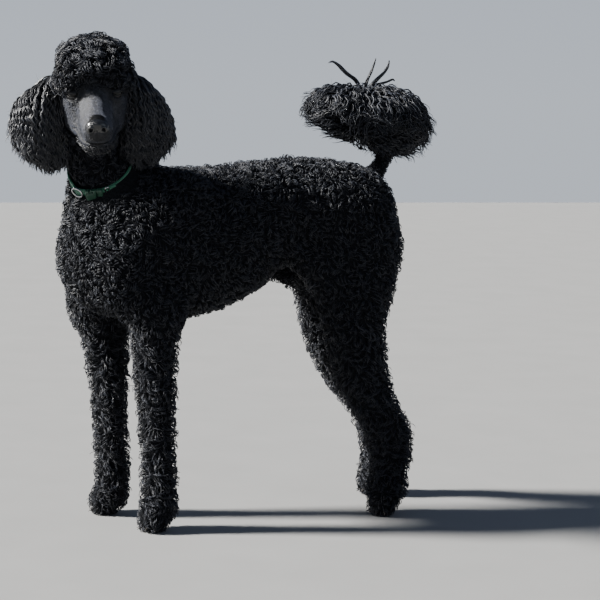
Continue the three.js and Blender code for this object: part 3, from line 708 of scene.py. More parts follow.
def skin_material():
    """Black skin and the shaved hair on it: fine, lying flat, a little glossy."""
    made, tree, shader = principled("shaved_skin", Roughness=0.6, Specular_IOR_Level=0.32, Sheen_Weight=0.12,
                                    Sheen_Roughness=0.45, Sheen_Tint=(0.66, 0.74, 1.0, 1))
    patches = noise(tree, 30, 3)
    stubble = noise(tree, 200, 4, 0.7)
    tone = mixed(tree, patches, (0.015, 0.0158, 0.02, 1), (0.035, 0.037, 0.047, 1))
    mottled = ramp(tree, stubble, (0.42, (0.08, 0.08, 0.08)), (0.6, (1.0, 1.0, 1.0)))
    tone = mixed(tree, 1.0, tone, mottled, "MULTIPLY")
    # the face darkened by the black skin of its lips and rims, and by painted shade under the nose and round
    # the eyes
    tone = mixed(tree, 1.0, tone, attribute(tree, "pigment_and_painted_shade", "Color"), "MULTIPLY")
    along_face = node(tree, "Mapping", {"Vector": coordinates(tree), "Rotation": (-HEAD_NOD, 0, -HEAD_TURN),
                                        "Scale": (1.0, 0.16, 1.0)}, vector_type="POINT").outputs["Vector"]
    hairs = noise(tree, 1500, 2, 0.6, along_face)
    pores = noise(tree, 420, 2, 0.6)
    rough_skin = bump(tree, pores, 0.3, 0.0008, bump(tree, stubble, 0.8, 0.003))
    fill(shader, {"Base Color": tone, "Normal": bump(tree, hairs, 0.4, 0.0006, rough_skin),
                  "Roughness": ranged(tree, patches, 0.52, 0.66)})
    return made


def nose_material():
    """Wet black leather with a pebbled grain."""
    made, tree, shader = principled("nose_leather", Roughness=0.32, Specular_IOR_Level=0.2, Coat_Weight=0.9,
                                    Coat_Roughness=0.12)
    cells = node(tree, "TexVoronoi", {"Vector": coordinates(tree), "Scale": 900}, feature="DISTANCE_TO_EDGE")
    edge = node(tree, "MapRange", {"Value": cells.outputs["Distance"], "From Max": 0.12}).outputs["Result"]
    colour = ramp(tree, noise(tree, 120, 3), (0.35, (0.002, 0.002, 0.0022)), (0.7, (0.004, 0.004, 0.0045)))
    fill(shader, {"Base Color": colour, "Roughness": ranged(tree, noise(tree, 260, 2), 0.2, 0.46),
                  "Normal": bump(tree, edge, 0.35, 0.0003)})
    return made


BLACK = (0.0035, 0.0036, 0.0045)
BLUE_BLACK = (0.017, 0.0195, 0.027)
COAT_HAIR = hair_material("curly_coat", BLACK, BLUE_BLACK, 0.52)
EAR_HAIR = hair_material("ear_hair", BLACK, (0.019, 0.0205, 0.027), 0.47, 0.5)
# Paler than the rest of the coat: a painted highlight for the sunlit sparkle on the chin's curls
CHIN_HAIR = hair_material("chin_hair", BLACK, (0.045, 0.046, 0.05), 0.4)
SKIN = skin_material()
EYE_RIMS = grained("eye_rims", (500, 3), (0.3, (0.0015, 0.0015, 0.0017)), (0.7, (0.006, 0.006, 0.007)),
                   bumped=(0.4, 0.0005), Roughness=0.45, Specular_IOR_Level=0.3)
# The dense wool at the roots of the coat, seen between the tufts: black, and coloured darker than the tufts
# as painted shade deep among them
UNDERCOAT = grained("undercoat", (210, 4, 0.7), (0.35, (0.0025, 0.0028, 0.0036)),
                    (0.7, (0.009, 0.0098, 0.0125)), bumped=(1.0, 0.004), Roughness=0.85,
                    Specular_IOR_Level=0.1)
# The eye's white is nearly as dark as the iris: painted shade, as the eyes lie in the fringe's shadow
EYE_LOOKS = [
    grained(name, (700, 3), (0.35, dark), (0.75, light), Roughness=0.08, Specular_IOR_Level=0.25)
    for name, dark, light in (
        ("pupil", (0.001, 0.001, 0.001), (0.0015, 0.0015, 0.0015)),
        ("iris", (0.002, 0.0013, 0.001), (0.006, 0.0035, 0.0022)),
        ("eye_white", (0.003, 0.0024, 0.002), (0.006, 0.005, 0.0045)),
    )
]
CLAW_HORN = grained("claw_horn", (500, 3), (0.3, (0.012, 0.011, 0.010)), (0.75, (0.035, 0.03, 0.026)),
                    bumped=(0.25, 0.0004), Roughness=0.38, Specular_IOR_Level=0.5)


# The skin: one closed mesh, finer on the face, and finer still round the eyes and the mouth

SKIN_CELL = 6.0
SKIN_LOW = np.array([-165.0, -420.0, -18.0])
SKIN_HIGH = np.array([195.0, 425.0, 880.0])
GROUND = 0.8                    # the lowest that any hair or skin may lie
FACE_FLOOR, FACE_TOP = -92, 34  # the face's heights in the head's own frame
HEAD_NEAR = 220                 # the head's detail lies nearer to its centre than this
EYE_NEAR = 19                   # the skin is finest nearer to an eye than this


def on_face(local, back, half):
    """Which places, in the head's own frame, are in front of the given line and within the half width."""
    x, y, z = local.T
    return (y < back) & (z < FACE_TOP) & (z > FACE_FLOOR) & (np.abs(x) < half)


def face_pigment_and_painted_shade(points):
    """How pale the shaved face is: 1, but darker on the lips for their black skin, under the nose as painted
    shade, and round the eyes for their black rims and as painted shade in the sockets.
    """
    x, y, z = into_head(points).T
    # lips: black skin; under the nose: painted shade; round the eyes: black rims, and painted shade in the
    # sockets
    lips = smoothstep(-58, -74, y) * bell((z - MOUTH_HEIGHT - 2) / 9)
    under_nose = smoothstep(-114, -128, y) * smoothstep(-34, -42, z) * smoothstep(30, 18, np.abs(x))
    round_eyes = smoothstep(24, 14, from_eyes(points))
    return 1 - 0.78 * np.maximum(np.maximum(lips, under_nose), round_eyes)


def build_skin():
    """The skin, and its points and quads before the face is cut finer, which carry the coat."""
    points, quads = surface_net(SKIN_FIELD, SKIN_LOW, SKIN_HIGH, SKIN_CELL)
    points = SKIN_FIELD.drawn_onto(points, SKIN_CELL / 2)
    points[:, 2] = np.maximum(points[:, 2], GROUND)
    face = on_face(into_head(centres_of(points, quads)), 4, 60)
    fine_points, fine_faces = refined(points, quads.tolist(), face, 3)
    middle = centres_of(fine_points, fine_faces)
    _, y, z = into_head(middle).T
    lips = (y < MOUTH_CORNER + 8) & (np.abs(z - MOUTH_HEIGHT - 3) < 9)
    fine_points, fine_faces = refined(fine_points, fine_faces, (from_eyes(middle) < EYE_NEAR) | lips, 1)
    near = np.linalg.norm(fine_points - HEAD_CENTRE, axis=1) < HEAD_NEAR
    fine_points[near] = SKIN_DETAIL.drawn_onto(fine_points[near], 3.0, 4)
    piece = make_piece("skin", fine_points, fine_faces, [UNDERCOAT, SKIN], "face")
    middle = centres_of(fine_points, fine_faces)
    shaved = np.isin(SKIN_FIELD.regions(middle), ("face", "head")) & (into_head(middle)[:, 1] < 10)
    piece.data.polygons.foreach_set("material_index", shaved.astype(np.int32))
    set_layer(piece.data, "pigment_and_painted_shade", face_pigment_and_painted_shade(fine_points))
    flesh = ["trunk", "neck", "head", "muzzle", "topknot", "tail_stem", "tail_plume"]
    for name in SIDE_NAME.values():
        flesh += [f"{part}_{name}" for part in ("ear", "forearm", "fore_pastern", "fore_paw", "thigh",
                                                "lower_leg", "hind_pastern", "hind_paw")]
    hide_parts(*flesh)
    return points, quads


# Coat: closed tapering tubes along many centre lines at once

TUFT_SIDES = 3
PATCH = 0.003                   # each tuft's size on the bake map
PAINTED_ROOT_SHADE = 0.35               # painted shade: a tuft's tone at its root, as a share of its own
BAKE_EDGE, BAKE_SPAN = 0.01, 0.97


def tubes(paths, radii, sides):
    """Vertices (tubes, vertices, 3) and triangles (tubes, triangles, 3) of closed, pointed tubes."""
    count, steps, _ = paths.shape
    tangents = normalised(np.gradient(paths, axis=1))
    helper = np.where(column(np.abs(tangents[:, 0, 2]) > 0.8), [1.0, 0, 0], [0, 0, 1.0])
    across = normalised(np.cross(tangents[:, 0], helper))
    rings = []
    angles = 2 * np.pi * np.arange(sides) / sides
    for k in range(steps - 1):
        tangent = tangents[:, k]
        across = in_plane(across, tangent)
        ring = swung(across[:, None], np.cross(tangent, across)[:, None], angles)
        rings.append(paths[:, k, None] + radii[:, k, None, None] * ring)
    vertices = np.concatenate([*rings, paths[:, -1:]], axis=1)
    triangles = []
    for k in range(steps - 2):
        for j in range(sides):
            a, b = k * sides + j, k * sides + (j + 1) % sides
            triangles += [(a, b, b + sides), (a, b + sides, a + sides)]
    last = (steps - 2) * sides
    tip = (steps - 1) * sides
    triangles += [(last + j, last + (j + 1) % sides, tip) for j in range(sides)]
    triangles += [(0, j + 1, j) for j in range(1, sides - 1)]
    return vertices, np.array(triangles) + (np.arange(count) * (tip + 1))[:, None, None]


def tube_piece(name, paths, radii, sides, material, slot):
    vertices, triangles = tubes(paths, radii, sides)
    return make_piece(name, vertices.reshape(-1, 3), triangles.reshape(-1, 3), [material], slot)


def unwrapped(roots, axis):
    """An unwrap of the skin round a limb: the angle about the limb's axis, and the distance along it."""
    from_middle = roots - roots.mean(0)
    first, second = (n for n in range(3) if n != axis)
    angle = np.arctan2(from_middle[:, second], from_middle[:, first]) / (2 * np.pi) + 0.5
    along = roots[:, axis] - roots[:, axis].min()
    return BAKE_EDGE + BAKE_SPAN * np.stack([angle, along / max(np.ptp(along), 1e-6)], 1)


def coat_piece(name, rng, paths, radii, material, leader=None, axis=2):
    """A piece of the coat from the centre lines of its tufts, each clump with a tone of its own, and each
    tuft darker towards its root as painted shade.
    """
    vertices, triangles = tubes(paths, radii, TUFT_SIDES)
    count, each = vertices.shape[:2]
    points = vertices.reshape(-1, 3)
    points[:, 2] = np.maximum(points[:, 2], GROUND)
    mesh = make_piece(name, points, triangles.reshape(-1, 3), [material], "coat").data
    step, corner = np.divmod(np.arange(each), TUFT_SIDES)
    shade = rng.uniform(0.3, 1.0, count)
    if leader is not None:
        shade = 0.4 * shade + 0.6 * rng.uniform(0.2, 1.0, leader.max() + 1)[leader]
    risen = np.minimum(step / (0.45 * paths.shape[1]), 1)
    # painted shade: each tuft's tone falls towards its root, where the other tufts would shade it
    set_layer(mesh, "shade", column(shade) * (PAINTED_ROOT_SHADE + (1 - PAINTED_ROOT_SHADE) * risen))
    pace = np.linalg.norm(np.diff(paths, axis=1), axis=2).mean()
    turn = 2 * np.pi * corner / TUFT_SIDES
    round_it = np.stack([2 * np.cos(turn), 2 * np.sin(turn), step * pace * 0.12], 1)
    set_layer(mesh, "strand", rng.uniform(0, 400, (count, 1, 3)) + round_it, "FLOAT_VECTOR")
    local = np.stack([corner / (TUFT_SIDES - 1), step / (paths.shape[1] - 1)], 1) * PATCH
    bake = unwrapped(paths[:, 0], axis)[:, None] + local[None]
    layer = mesh.uv_layers.new(name="OFBake")
    layer.data.foreach_set("uv", bake.reshape(-1, 2)[triangles.ravel()].astype(np.float32).ravel())


def scattered(rng, points, quads, spacing):
    """Roots spread over the skin, about one to each square of the given spacing."""
    a, b, c, d = (points[quads[:, n]] for n in range(4))
    area = np.linalg.norm(np.cross(c - a, d - b), axis=1) / 2
    tries = int(area.sum() / spacing**2 * 6)
    pick = rng.choice(len(quads), tries, p=area / area.sum())
    u, v = column(rng.random(tries)), column(rng.random(tries))
    place = (a[pick] * (1 - u) + b[pick] * u) * (1 - v) + (d[pick] * (1 - u) + c[pick] * u) * v
    cube = np.floor(place / spacing + 0.37).astype(int)
    _, kept = np.unique(cube, axis=0, return_index=True)
    return place[np.sort(kept)]


def rooted(rng, skin, spacing, region, field):
    """Roots spread over one region of the skin, and a field's normals there."""
    roots = scattered(rng, *skin, spacing)
    roots = roots[SKIN_FIELD.regions(roots) == region]
    return roots, field.normals(roots)


def swirl(points, scale, seed):
    """A smooth random number, mostly between -1 and 1, that changes over the given distance."""
    rng = np.random.default_rng(seed)
    total = np.zeros(len(points))
    for _ in range(6):
        wave = normalised(rng.normal(size=3)) * 2 * np.pi / (scale * rng.uniform(0.7, 1.6))
        total += np.sin(points @ wave + rng.uniform(0, 2 * np.pi))
    return total / 3


def clumped(rng, roots, size):
    """The root that leads each root's clump: one for each cube of about the given size."""
    cube = np.floor((roots + rng.normal(0, size * 0.12, roots.shape)) / size + 0.21).astype(int)
    _, first, member = np.unique(cube, axis=0, return_index=True, return_inverse=True)
    return first[member.ravel()]


def gathered(paths, leader, pull, keep=0.35):
    """Paths drawn towards the leading path of their clump, more and more towards the tip."""
    beside = (paths[:, :1] - paths[leader, :1]) * keep
    weight = pull * np.linspace(0, 1, paths.shape[1])[None, :, None] ** 0.8
    return paths + weight * (paths[leader] + beside - paths)


def curls(rng, roots, normals, lie, leader, length, thickness, lean=(5, 40), bend=(120, 240), twist=110,
          upright=0.3, steps=6, pull=0.6):
    """Centre lines and radii of short curls: each rises from the skin, then bends over and hooks back,
    much as the rest of its clump does."""
    count = len(roots)

    def drawn(low, high, own=0.3):
        values = rng.uniform(low, high, count)
        return values[leader] * (1 - own) + values * own

    lean = drawn(*lean) * DEGREE
    bend = drawn(*bend) * DEGREE
    twist = drawn(-twist, twist) * DEGREE
    reach = length * drawn(0.82, 1.16, 0.5)
    lie = in_plane(lie[leader], normals)
    other = np.cross(normals, lie)
    share = np.full(steps - 1, (1 - upright) / (steps - 2))
    share[0] = upright
    progress = np.cumsum(share) - share / 2
    path = [roots]
    for k in range(steps - 1):
        curl = max(progress[k] - upright, 0) / (1 - upright)
        direction = swung(normals, swung(lie, other, twist * curl), lean + bend * curl)
        path.append(path[-1] + direction * column(reach * share[k]))
    profile = np.interp(np.linspace(0, 1, steps), [0, 0.3, 0.65, 1], [0.8, 1, 0.8, 0.15])
    radii = column(thickness * rng.uniform(0.75, 1.25, count)) * profile
    return gathered(np.stack(path, 1), leader, pull), radii


# The way the coat lies on each region
REGION_LIE = {
    "trunk": (0, 0.6, -0.8), "neck": (0, 0.25, -1), "head": (0, 0.5, -0.9), "tail_stem": (0, 0.2, 1),
    "foreleg_left": (0, 0.1, -1), "foreleg_right": (0, 0.1, -1),
    "hind_leg_left": (0, 0.2, -1), "hind_leg_right": (0, 0.2, -1),
}
PIECE_TRIANGLES = 170000        # the most in one piece of the body's coat
CURL_STEPS = 5
CURL_SPACING = 5.0
CURL_PULL = 0.66
CLUMP = 10.5                    # how wide a clump of tufts is that curls as one
LEG_CLUMP = 8.0
BODY_CURL = {"thickness": 0.95, "lean": (5, 45), "bend": (110, 235)}
LEG_CURL = {"thickness": 0.86, "lean": (10, 48), "bend": (80, 200)}
BODY_LENGTH = 16.5
LEG_LENGTH = 19.5
THIGH_SHORTER = 3               # by how much the hair is shorter at the top of a leg
SHORT = {"head": 0.45, "tail_stem": 0.4}


def coat_length(name, place):
    """The coat's length: uneven, shorter on the feet and the tail's stem, and pressed under the collar."""
    z = place[:, 2]
    on_leg = "leg" in name
    length = LEG_LENGTH - THIGH_SHORTER * smoothstep(260, 400, z) if on_leg else BODY_LENGTH
    length = length * (1 + 0.14 * swirl(place, 26, 23))
    if on_leg:
        return length * (0.62 + 0.38 * smoothstep(14, 60, z))
    if name in SHORT:
        return length * SHORT[name]
    across, out = collar_place(place)
    edge = smoothstep(COLLAR_WIDTH / 2, COLLAR_WIDTH / 2 + 5, np.abs(across))
    return length * (0.72 + 0.28 * np.maximum(edge, smoothstep(10, 25, out)))


def body_coat(rng, skin):
    """The tight curls of the trunk, neck and legs, in pieces of one region each."""
    roots = scattered(rng, *skin, CURL_SPACING)
    across, out = collar_place(roots)
    roots = roots[(np.abs(across) > COLLAR_WIDTH / 2) | (out > GROOVE_DEPTH)]
    region = SKIN_FIELD.regions(roots)
    normals = SKIN_FIELD.normals(roots)
    for name, lie in REGION_LIE.items():
        on_leg = "leg" in name
        axis = 1 if name == "trunk" else 2
        mine = np.flatnonzero(region == name)
        mine = mine[np.argsort(roots[mine, axis], kind="stable")]
        place, normal = roots[mine], normals[mine]
        leader = clumped(rng, place, LEG_CLUMP if on_leg else CLUMP)
        swing = swirl(place, 34, 11) * 1.5 + rng.normal(0, 0.7, len(place))
        flow = turned(in_plane(np.array(lie, float), normal), normal, swing)
        paths, radii = curls(rng, place, normal, flow, leader, coat_length(name, place), steps=CURL_STEPS,
                             pull=CURL_PULL, **(LEG_CURL if on_leg else BODY_CURL))
        most = PIECE_TRIANGLES // (2 * TUFT_SIDES * (CURL_STEPS - 1) - 2)
        parts = max(1, math.ceil(len(place) / most))
        for n, chosen in enumerate(np.array_split(np.arange(len(place)), parts)):
            label = f"coat_{name}" + (f"_{n + 1}" if parts > 1 else "")
            coat_piece(label, rng, paths[chosen], radii[chosen], COAT_HAIR, leader[chosen], axis)


TOPKNOT_SPACING = 3.8
TOPKNOT_CLUMP = 13
TOPKNOT_LENGTH = 24
TOPKNOT_CURL = {"thickness": 0.82, "bend": (120, 270), "upright": 0.34, "steps": 7}
BROW_SHORTER = 12               # by how much the hair is shorter between the eyes
OVER_EYE_SHORTER = 9            # and over them


def topknot_coat(rng, skin):
    """The topknot's longer curls, shorter where they part over the brow."""
    roots, normals = rooted(rng, skin, TOPKNOT_SPACING, "topknot", SKIN_FIELD)
    leader = clumped(rng, roots, TOPKNOT_CLUMP)
    outward = in_plane(roots - out_of_head([0, 0, 90]), normals)
    flow = turned(outward, normals, swirl(roots, 40, 31) * 1.6 + rng.normal(0, 0.5, len(roots)))
    x, y, z = into_head(roots).T
    brow = smoothstep(34, 20, np.abs(x)) * smoothstep(-36, -50, y) * smoothstep(54, 40, z)
    over_eye = smoothstep(10, 20, np.abs(x)) * smoothstep(-30, -44, y) * smoothstep(50, 40, z)
    flow = normalised(flow + column(1.6 * over_eye) * in_plane(DOWN, normals))
    length = TOPKNOT_LENGTH - BROW_SHORTER * brow - OVER_EYE_SHORTER * over_eye
    paths, radii = curls(rng, roots, normals, flow, leader, length, **TOPKNOT_CURL)
    coat_piece("coat_topknot", rng, paths, radii, COAT_HAIR, leader)


def resampled(paths, ends, steps):
    """Each path again with the given number of points, from its root to its own end."""
    at = np.linspace(0, 1, steps) * column(ends)
    low = np.minimum(at.astype(int), paths.shape[1] - 2)
    part = (at - low)[..., None]
    rows = column(np.arange(len(paths)))
    return paths[rows, low] * (1 - part) + paths[rows, low + 1] * part


def draped(rng, mass, roots, heading, style):
    """Centre lines of locks that lie on a mass of hair, run along it and fall free of its edge. Each
    ends a little way outside the mass."""
    count = len(roots)
    height = rng.uniform(0.15, 0.8, count) * style.cover
    path = [roots]
    place = roots
    end = np.full(count, float(style.paces - 1))
    outside = style.cover * rng.uniform(0.7, 1.5, count)
    for k in range(1, style.paces):
        heading = normalised(heading + style.gravity * DOWN)
        place = place + heading * style.pace
        value, slope = mass.slope(place)
        normal = normalised(slope)
        rise = height * min(k / 3, 1)
        place = place + column(np.clip(rise - value, -0.5, 6)) * normal
        into = (heading * normal).sum(1)
        heading = heading - column(np.minimum(into, 0)) * normal
        left = (value > outside) & (end > k)
        end[left] = k
        path.append(place)
    return np.stack(path, 1), np.maximum(end, 4)


def crimped(rng, paths, outward, leader, along, style):
    """Paths with the hair's crimp: waves across each lock and in and out, in step with its neighbours.
    The waves follow the given distance along each path."""
    tangents = normalised(np.gradient(paths, axis=1))
    side = normalised(np.cross(tangents, outward[:, None]))
    other = np.cross(tangents, side)
    period = column(style.wave * rng.uniform(0.9, 1.15, len(paths))[leader])
    start = rng.uniform(-1, 1, len(paths))[leader] + rng.normal(0, 0.3, len(paths))
    phase = column(start) + 2 * np.pi * along / period
    steps = np.linspace(0, 1, paths.shape[1])
    grown = column(style.crimp * rng.uniform(0.6, 1.3, len(paths))) * np.minimum(steps * 5, 1)
    aside, in_and_out = grown * np.sin(phase), grown * 0.6 * np.cos(phase)
    return paths + side * aside[..., None] + other * in_and_out[..., None]


def tip_hooked(rng, paths, outward, leader, size):
    """Paths whose tips curl away, each clump to its own side."""
    t = np.clip((np.linspace(0, 1, paths.shape[1]) - 0.62) / 0.38, 0, 1)[None, :, None]
    aside = normalised(rng.normal(size=outward.shape) + 0.6 * outward)[leader][:, None]
    return paths + size * aside * (t**2 * (1.6 - t))


def locks(region, rng, skin, mass, style, towards, along, material):
    """Long crimped locks that run over a mass of hair and beyond its edge. towards gives the way they run
    at their roots, and along the distance that their crimp follows."""
    roots, normals = rooted(rng, skin, style.spacing, region, mass)
    leader = clumped(rng, roots, style.clump)
    heading = turned(in_plane(towards(roots), normals), normals, rng.normal(0, style.stray, len(roots)))
    paths, ends = draped(rng, mass, roots, heading, style)
    paths = gathered(resampled(paths, ends, style.steps), leader, style.pull, style.keep)
    paths = crimped(rng, paths, normals, leader, along(paths), style)
    paths = tip_hooked(rng, paths, normals, leader, style.hook)
    profile = np.interp(np.linspace(0, 1, style.steps), [0, 0.12, style.taper, 1], [0.6, 1, 0.85, 0.12])
    radii = column(style.thickness * rng.uniform(0.65, 1.35, len(paths))) * profile
    coat_piece(style.piece, rng, paths, radii, material, leader)


EAR_STYLE = {
    "spacing": 7.7, "clump": 17, "stray": 0.2,          # roots, clumps, and how far the locks stray
    "pace": 5.5, "paces": 38, "steps": 34,              # the paces they run, and the points they keep
    "gravity": 0.16, "cover": DEPTH["ear"],             # how they fall, and how thick they lie
    "pull": 0.5, "keep": 0.45,                          # how closely a clump gathers
    "wave": 16, "crimp": 2.2, "hook": 8,                # crimp's period and depth, and the tips' curl
    "thickness": 1.6, "taper": 0.6,
}
PLUME_STYLE = {
    "spacing": 7.6, "clump": 20, "stray": 0.35,
    "pace": 4.6, "paces": 18, "steps": 18,
    "gravity": 0.05, "cover": 18.0,
    "pull": 0.72, "keep": 0.4,
    "wave": 20, "crimp": 3.0, "hook": 13,
    "thickness": 1.4, "taper": 0.5,
}
PLUME_PARTING = np.array([0.0, 262.0, 790.0])


def ear_coat(rng, skin, side):
    """The ear's hair hangs, and its crimp follows the height."""
    name = f"ear_{SIDE_NAME[side]}"
    style = SimpleNamespace(piece=f"coat_{name}", **EAR_STYLE)
    locks(name, rng, skin, EAR_MASS[side], style, lambda roots: DOWN, lambda paths: -paths[..., 2], EAR_HAIR)


def plume_coat(rng, skin):
    """The tail's pompom: locks fall from the parting on top, over the mass and past its rim."""
    style = SimpleNamespace(piece="coat_tail_plume", **PLUME_STYLE)
    locks("plume", rng, skin, PLUME_MASS, style, lambda roots: (roots - PLUME_PARTING) * [1, 1, 0.4],
          lambda paths: np.linalg.norm(paths - PLUME_PARTING, axis=2), COAT_HAIR)


WISP_SPACING = 12
WISP_STEPS = 12
WISP_RADIUS = 0.26
WISP_SHARE = 0.6                # of the roots on the topknot and the pompom that carry one
EAR_EDGE = 70                   # ear wisps stand further out from the middle of the head than this


def wisps(region, rng, roots, normals, droop, length):
    """Fly-away hairs that stand clear of the rest."""
    count = len(roots)
    heading = normals * column(rng.uniform(0.2, 1, count)) + rng.normal(0, 0.35, roots.shape)
    heading = normalised(heading + droop * DOWN)
    bend = rng.normal(0, 0.22, roots.shape)
    pace = column(length * rng.uniform(0.6, 1.2, count) / WISP_STEPS)
    path = [roots]
    for _ in range(WISP_STEPS - 1):
        path.append(path[-1] + heading * pace)
        heading = normalised(heading + bend + 0.12 * droop * DOWN)
    radii = column(WISP_RADIUS * rng.uniform(0.7, 1.2, count)) * np.linspace(1, 0.3, WISP_STEPS)
    coat_piece(f"coat_wisps_{region}", rng, np.stack(path, 1), radii, EAR_HAIR)


def fly_aways(rng, skin):
    """Wisps round the outer edges of the ears, over the topknot, and under and over the pompom."""
    roots = scattered(rng, *skin, WISP_SPACING)
    region = SKIN_FIELD.regions(roots)
    normals = SKIN_FIELD.normals(roots)
    for side in BOTH:
        name = f"ear_{SIDE_NAME[side]}"
        mine = (region == name) & (into_head(roots)[:, 0] * side > EAR_EDGE)
        wisps(name, rng, roots[mine], normals[mine], 0.9, 24)
    for name, droop, length in (("topknot", 0.1, 20), ("plume", 0.3, 28)):
        mine = (region == name) & (rng.random(len(roots)) < WISP_SHARE)
        wisps(name, rng, roots[mine], normals[mine], droop, length)


# The long cords that stand out of the pompom's parting: each one's radius and the points it passes
CORDS = [
    (5.0, [[0, 262, 768], [2, 250, 789], [3, 242, 801], [5, 220, 812], [4, 207, 826], [6, 193, 833],
           [8, 183, 829]]),
    (3.8, [[-2, 264, 770], [-3, 267, 797], [1, 277, 821], [-1, 285, 842]]),
    (4.8, [[4, 268, 770], [5, 275, 793], [2, 300, 814], [4, 308, 827], [2, 311, 839]]),
    (3.6, [[0, 276, 768], [-6, 284, 792], [-8, 311, 798], [-5, 323, 804], [-8, 329, 800]]),
]
CORD_STEPS = 30
CORD_STRANDS = 7
CORD_TWIST = 5                  # radians that the strands wind from root to tip


def tail_cords(rng):
    """Each cord is a few strands wound round one another."""
    paths, radii = [], []
    along = np.linspace(0, 1, CORD_STEPS)
    taper = np.interp(along, [0, 0.6, 1], [1, 0.72, 0.3])
    for radius, cord in CORDS:
        points = np.array(cord, float)
        at = along * (len(points) - 1)
        smooth = np.stack([np.interp(at, np.arange(len(points)), points[:, n]) for n in range(3)], 1)
        for _ in range(3):
            smooth[1:-1] = (smooth[:-2] + smooth[1:-1] * 2 + smooth[2:]) / 4
        tangents = normalised(np.gradient(smooth, axis=0))
        across = normalised(np.cross(tangents, [1.0, 0.2, 0]))
        other = np.cross(tangents, across)
        for n in range(CORD_STRANDS):
            turn = 2 * np.pi * n / CORD_STRANDS + CORD_TWIST * along + rng.normal(0, 0.3)
            away = column(0.6 * radius * taper * rng.uniform(0.7, 1.15))
            paths.append(smooth + away * swung(across, other, turn))
            radii.append(0.42 * radius * taper * np.minimum((1 - along) * 8 + 0.1, 1))
    coat_piece("coat_tail_cords", rng, np.array(paths), np.array(radii), EAR_HAIR)


FACE_SPACING = 3.3
FACE_CURL = {"thickness": 0.36, "lean": (58, 80), "bend": (5, 30), "twist": 30, "steps": 4, "pull": 0.3}
CHIN_LENGTH = 8.5
CHIN_CURL = {"thickness": 0.6, "bend": (90, 220)}


def face_coat(rng, skin):
    """The shaved hair of the face, lying flat, and the short curls left on the chin."""
    points, quads = skin
    front = on_face(into_head(points[quads].mean(1)), -8, 56)
    roots = scattered(rng, points, quads[front], FACE_SPACING)
    roots = roots[np.isin(SKIN_FIELD.regions(roots), ("face", "head"))]
    for _ in range(2):
        roots = SKIN_DETAIL.drawn_onto(roots, 3.0)
    x, y, z = into_head(roots).T
    open_eye = from_eyes(roots) < EYE_RADIUS + 2.2
    nose = (y < -131) & (z > -44) & (np.abs(x) < 19)
    chin = (y < -76) & (z < MOUTH_HEIGHT - 3)
    bridge = (y < -40) & (z > -36) & (np.abs(x) < 26)
    normals = SKIN_DETAIL.normals(roots)
    back = in_plane(out_of_head([0, 1, -0.35]) - HEAD_CENTRE, normals)
    flow = turned(back, normals, swirl(roots, 30, 41) * 0.25 + rng.normal(0, 0.25, len(roots)))
    flat = ~open_eye & ~nose & ~chin & ~bridge
    leader = clumped(rng, roots[flat], 5)
    length = 3.6 + 2.0 * smoothstep(-70, -20, y[flat])
    paths, radii = curls(rng, roots[flat], normals[flat], flow[flat], leader, length, **FACE_CURL)
    coat_piece("coat_face", rng, paths, radii, COAT_HAIR, leader)
    curly = chin & ~nose
    under = roots[curly]
    leader = clumped(rng, under, 6)
    wild = turned(flow[curly], normals[curly], rng.normal(0, 0.9, len(under)))
    length = np.full(len(under), CHIN_LENGTH)
    paths, radii = curls(rng, under, normals[curly], wild, leader, length, **CHIN_CURL)
    coat_piece("coat_chin", rng, paths, radii, CHIN_HAIR, leader)


# Eyes, nose and claws

PUPIL, IRIS = 17 * DEGREE, 42 * DEGREE      # where each ends, from the middle of the gaze
CORNEA_RISE = 0.07
CORNEA_WIDTH = 30 * DEGREE
EYE_AROUND = 40


def build_eye(side):
    """An eyeball turned along its gaze, with its pupil, iris and white as separate rings of faces."""
    gaze = HEAD_AXES @ normalised(np.array([side * 0.3, -0.95, -0.02]))
    across, upward = axes_of(gaze)
    angles = np.concatenate([np.linspace(PUPIL / 3, PUPIL, 3), np.linspace(PUPIL, IRIS, 7)[1:],
                             np.linspace(IRIS, math.pi, 16)[1:-1]])
    round_gaze = swung(across, upward, 2 * np.pi * np.arange(EYE_AROUND) / EYE_AROUND)
    points, faces, looks = [], [], []
    for angle in angles:
        bulge = 1 + CORNEA_RISE * math.exp(-((angle / CORNEA_WIDTH) ** 2))
        circle = math.cos(angle) * gaze + math.sin(angle) * round_gaze
        points.append(EYES[side] + EYE_RADIUS * bulge * circle)
    points += [[EYES[side] + EYE_RADIUS * (1 + CORNEA_RISE) * gaze], [EYES[side] - EYE_RADIUS * gaze]]
    points = np.concatenate(points)
    front, back = len(points) - 2, len(points) - 1
    last = (len(angles) - 1) * EYE_AROUND
    for j in range(EYE_AROUND):
        after = (j + 1) % EYE_AROUND
        faces.append([front, j, after])
        looks.append(0)
        for k, angle in enumerate(angles[1:]):
            ring, outer = k * EYE_AROUND, (k + 1) * EYE_AROUND
            faces.append([ring + j, outer + j, outer + after, ring + after])
            looks.append(0 if angle <= PUPIL + 1e-6 else 1 if angle <= IRIS + 1e-6 else 2)
        faces.append([last + j, back, last + after])
        looks.append(2)
    piece = make_piece(f"eyeball_{SIDE_NAME[side]}", points, faces, EYE_LOOKS, "eye")
    piece.data.polygons.foreach_set("material_index", looks)
    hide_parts(f"eye_{SIDE_NAME[side]}")


def swept(rings, closed):
    """Points and faces of a skin through a row of rings, closed on itself or capped at both ends."""
    rows, around = rings.shape[:2]
    faces = []
    for k in range(rows if closed else rows - 1):
        for j in range(around):
            a, b = k * around, (k + 1) % rows * around
            after = (j + 1) % around
            faces.append([a + j, a + after, b + after, b + j])
    if not closed:
        faces += [list(range(around))[::-1], [(rows - 1) * around + j for j in range(around)]]
    return rings.reshape(-1, 3), faces


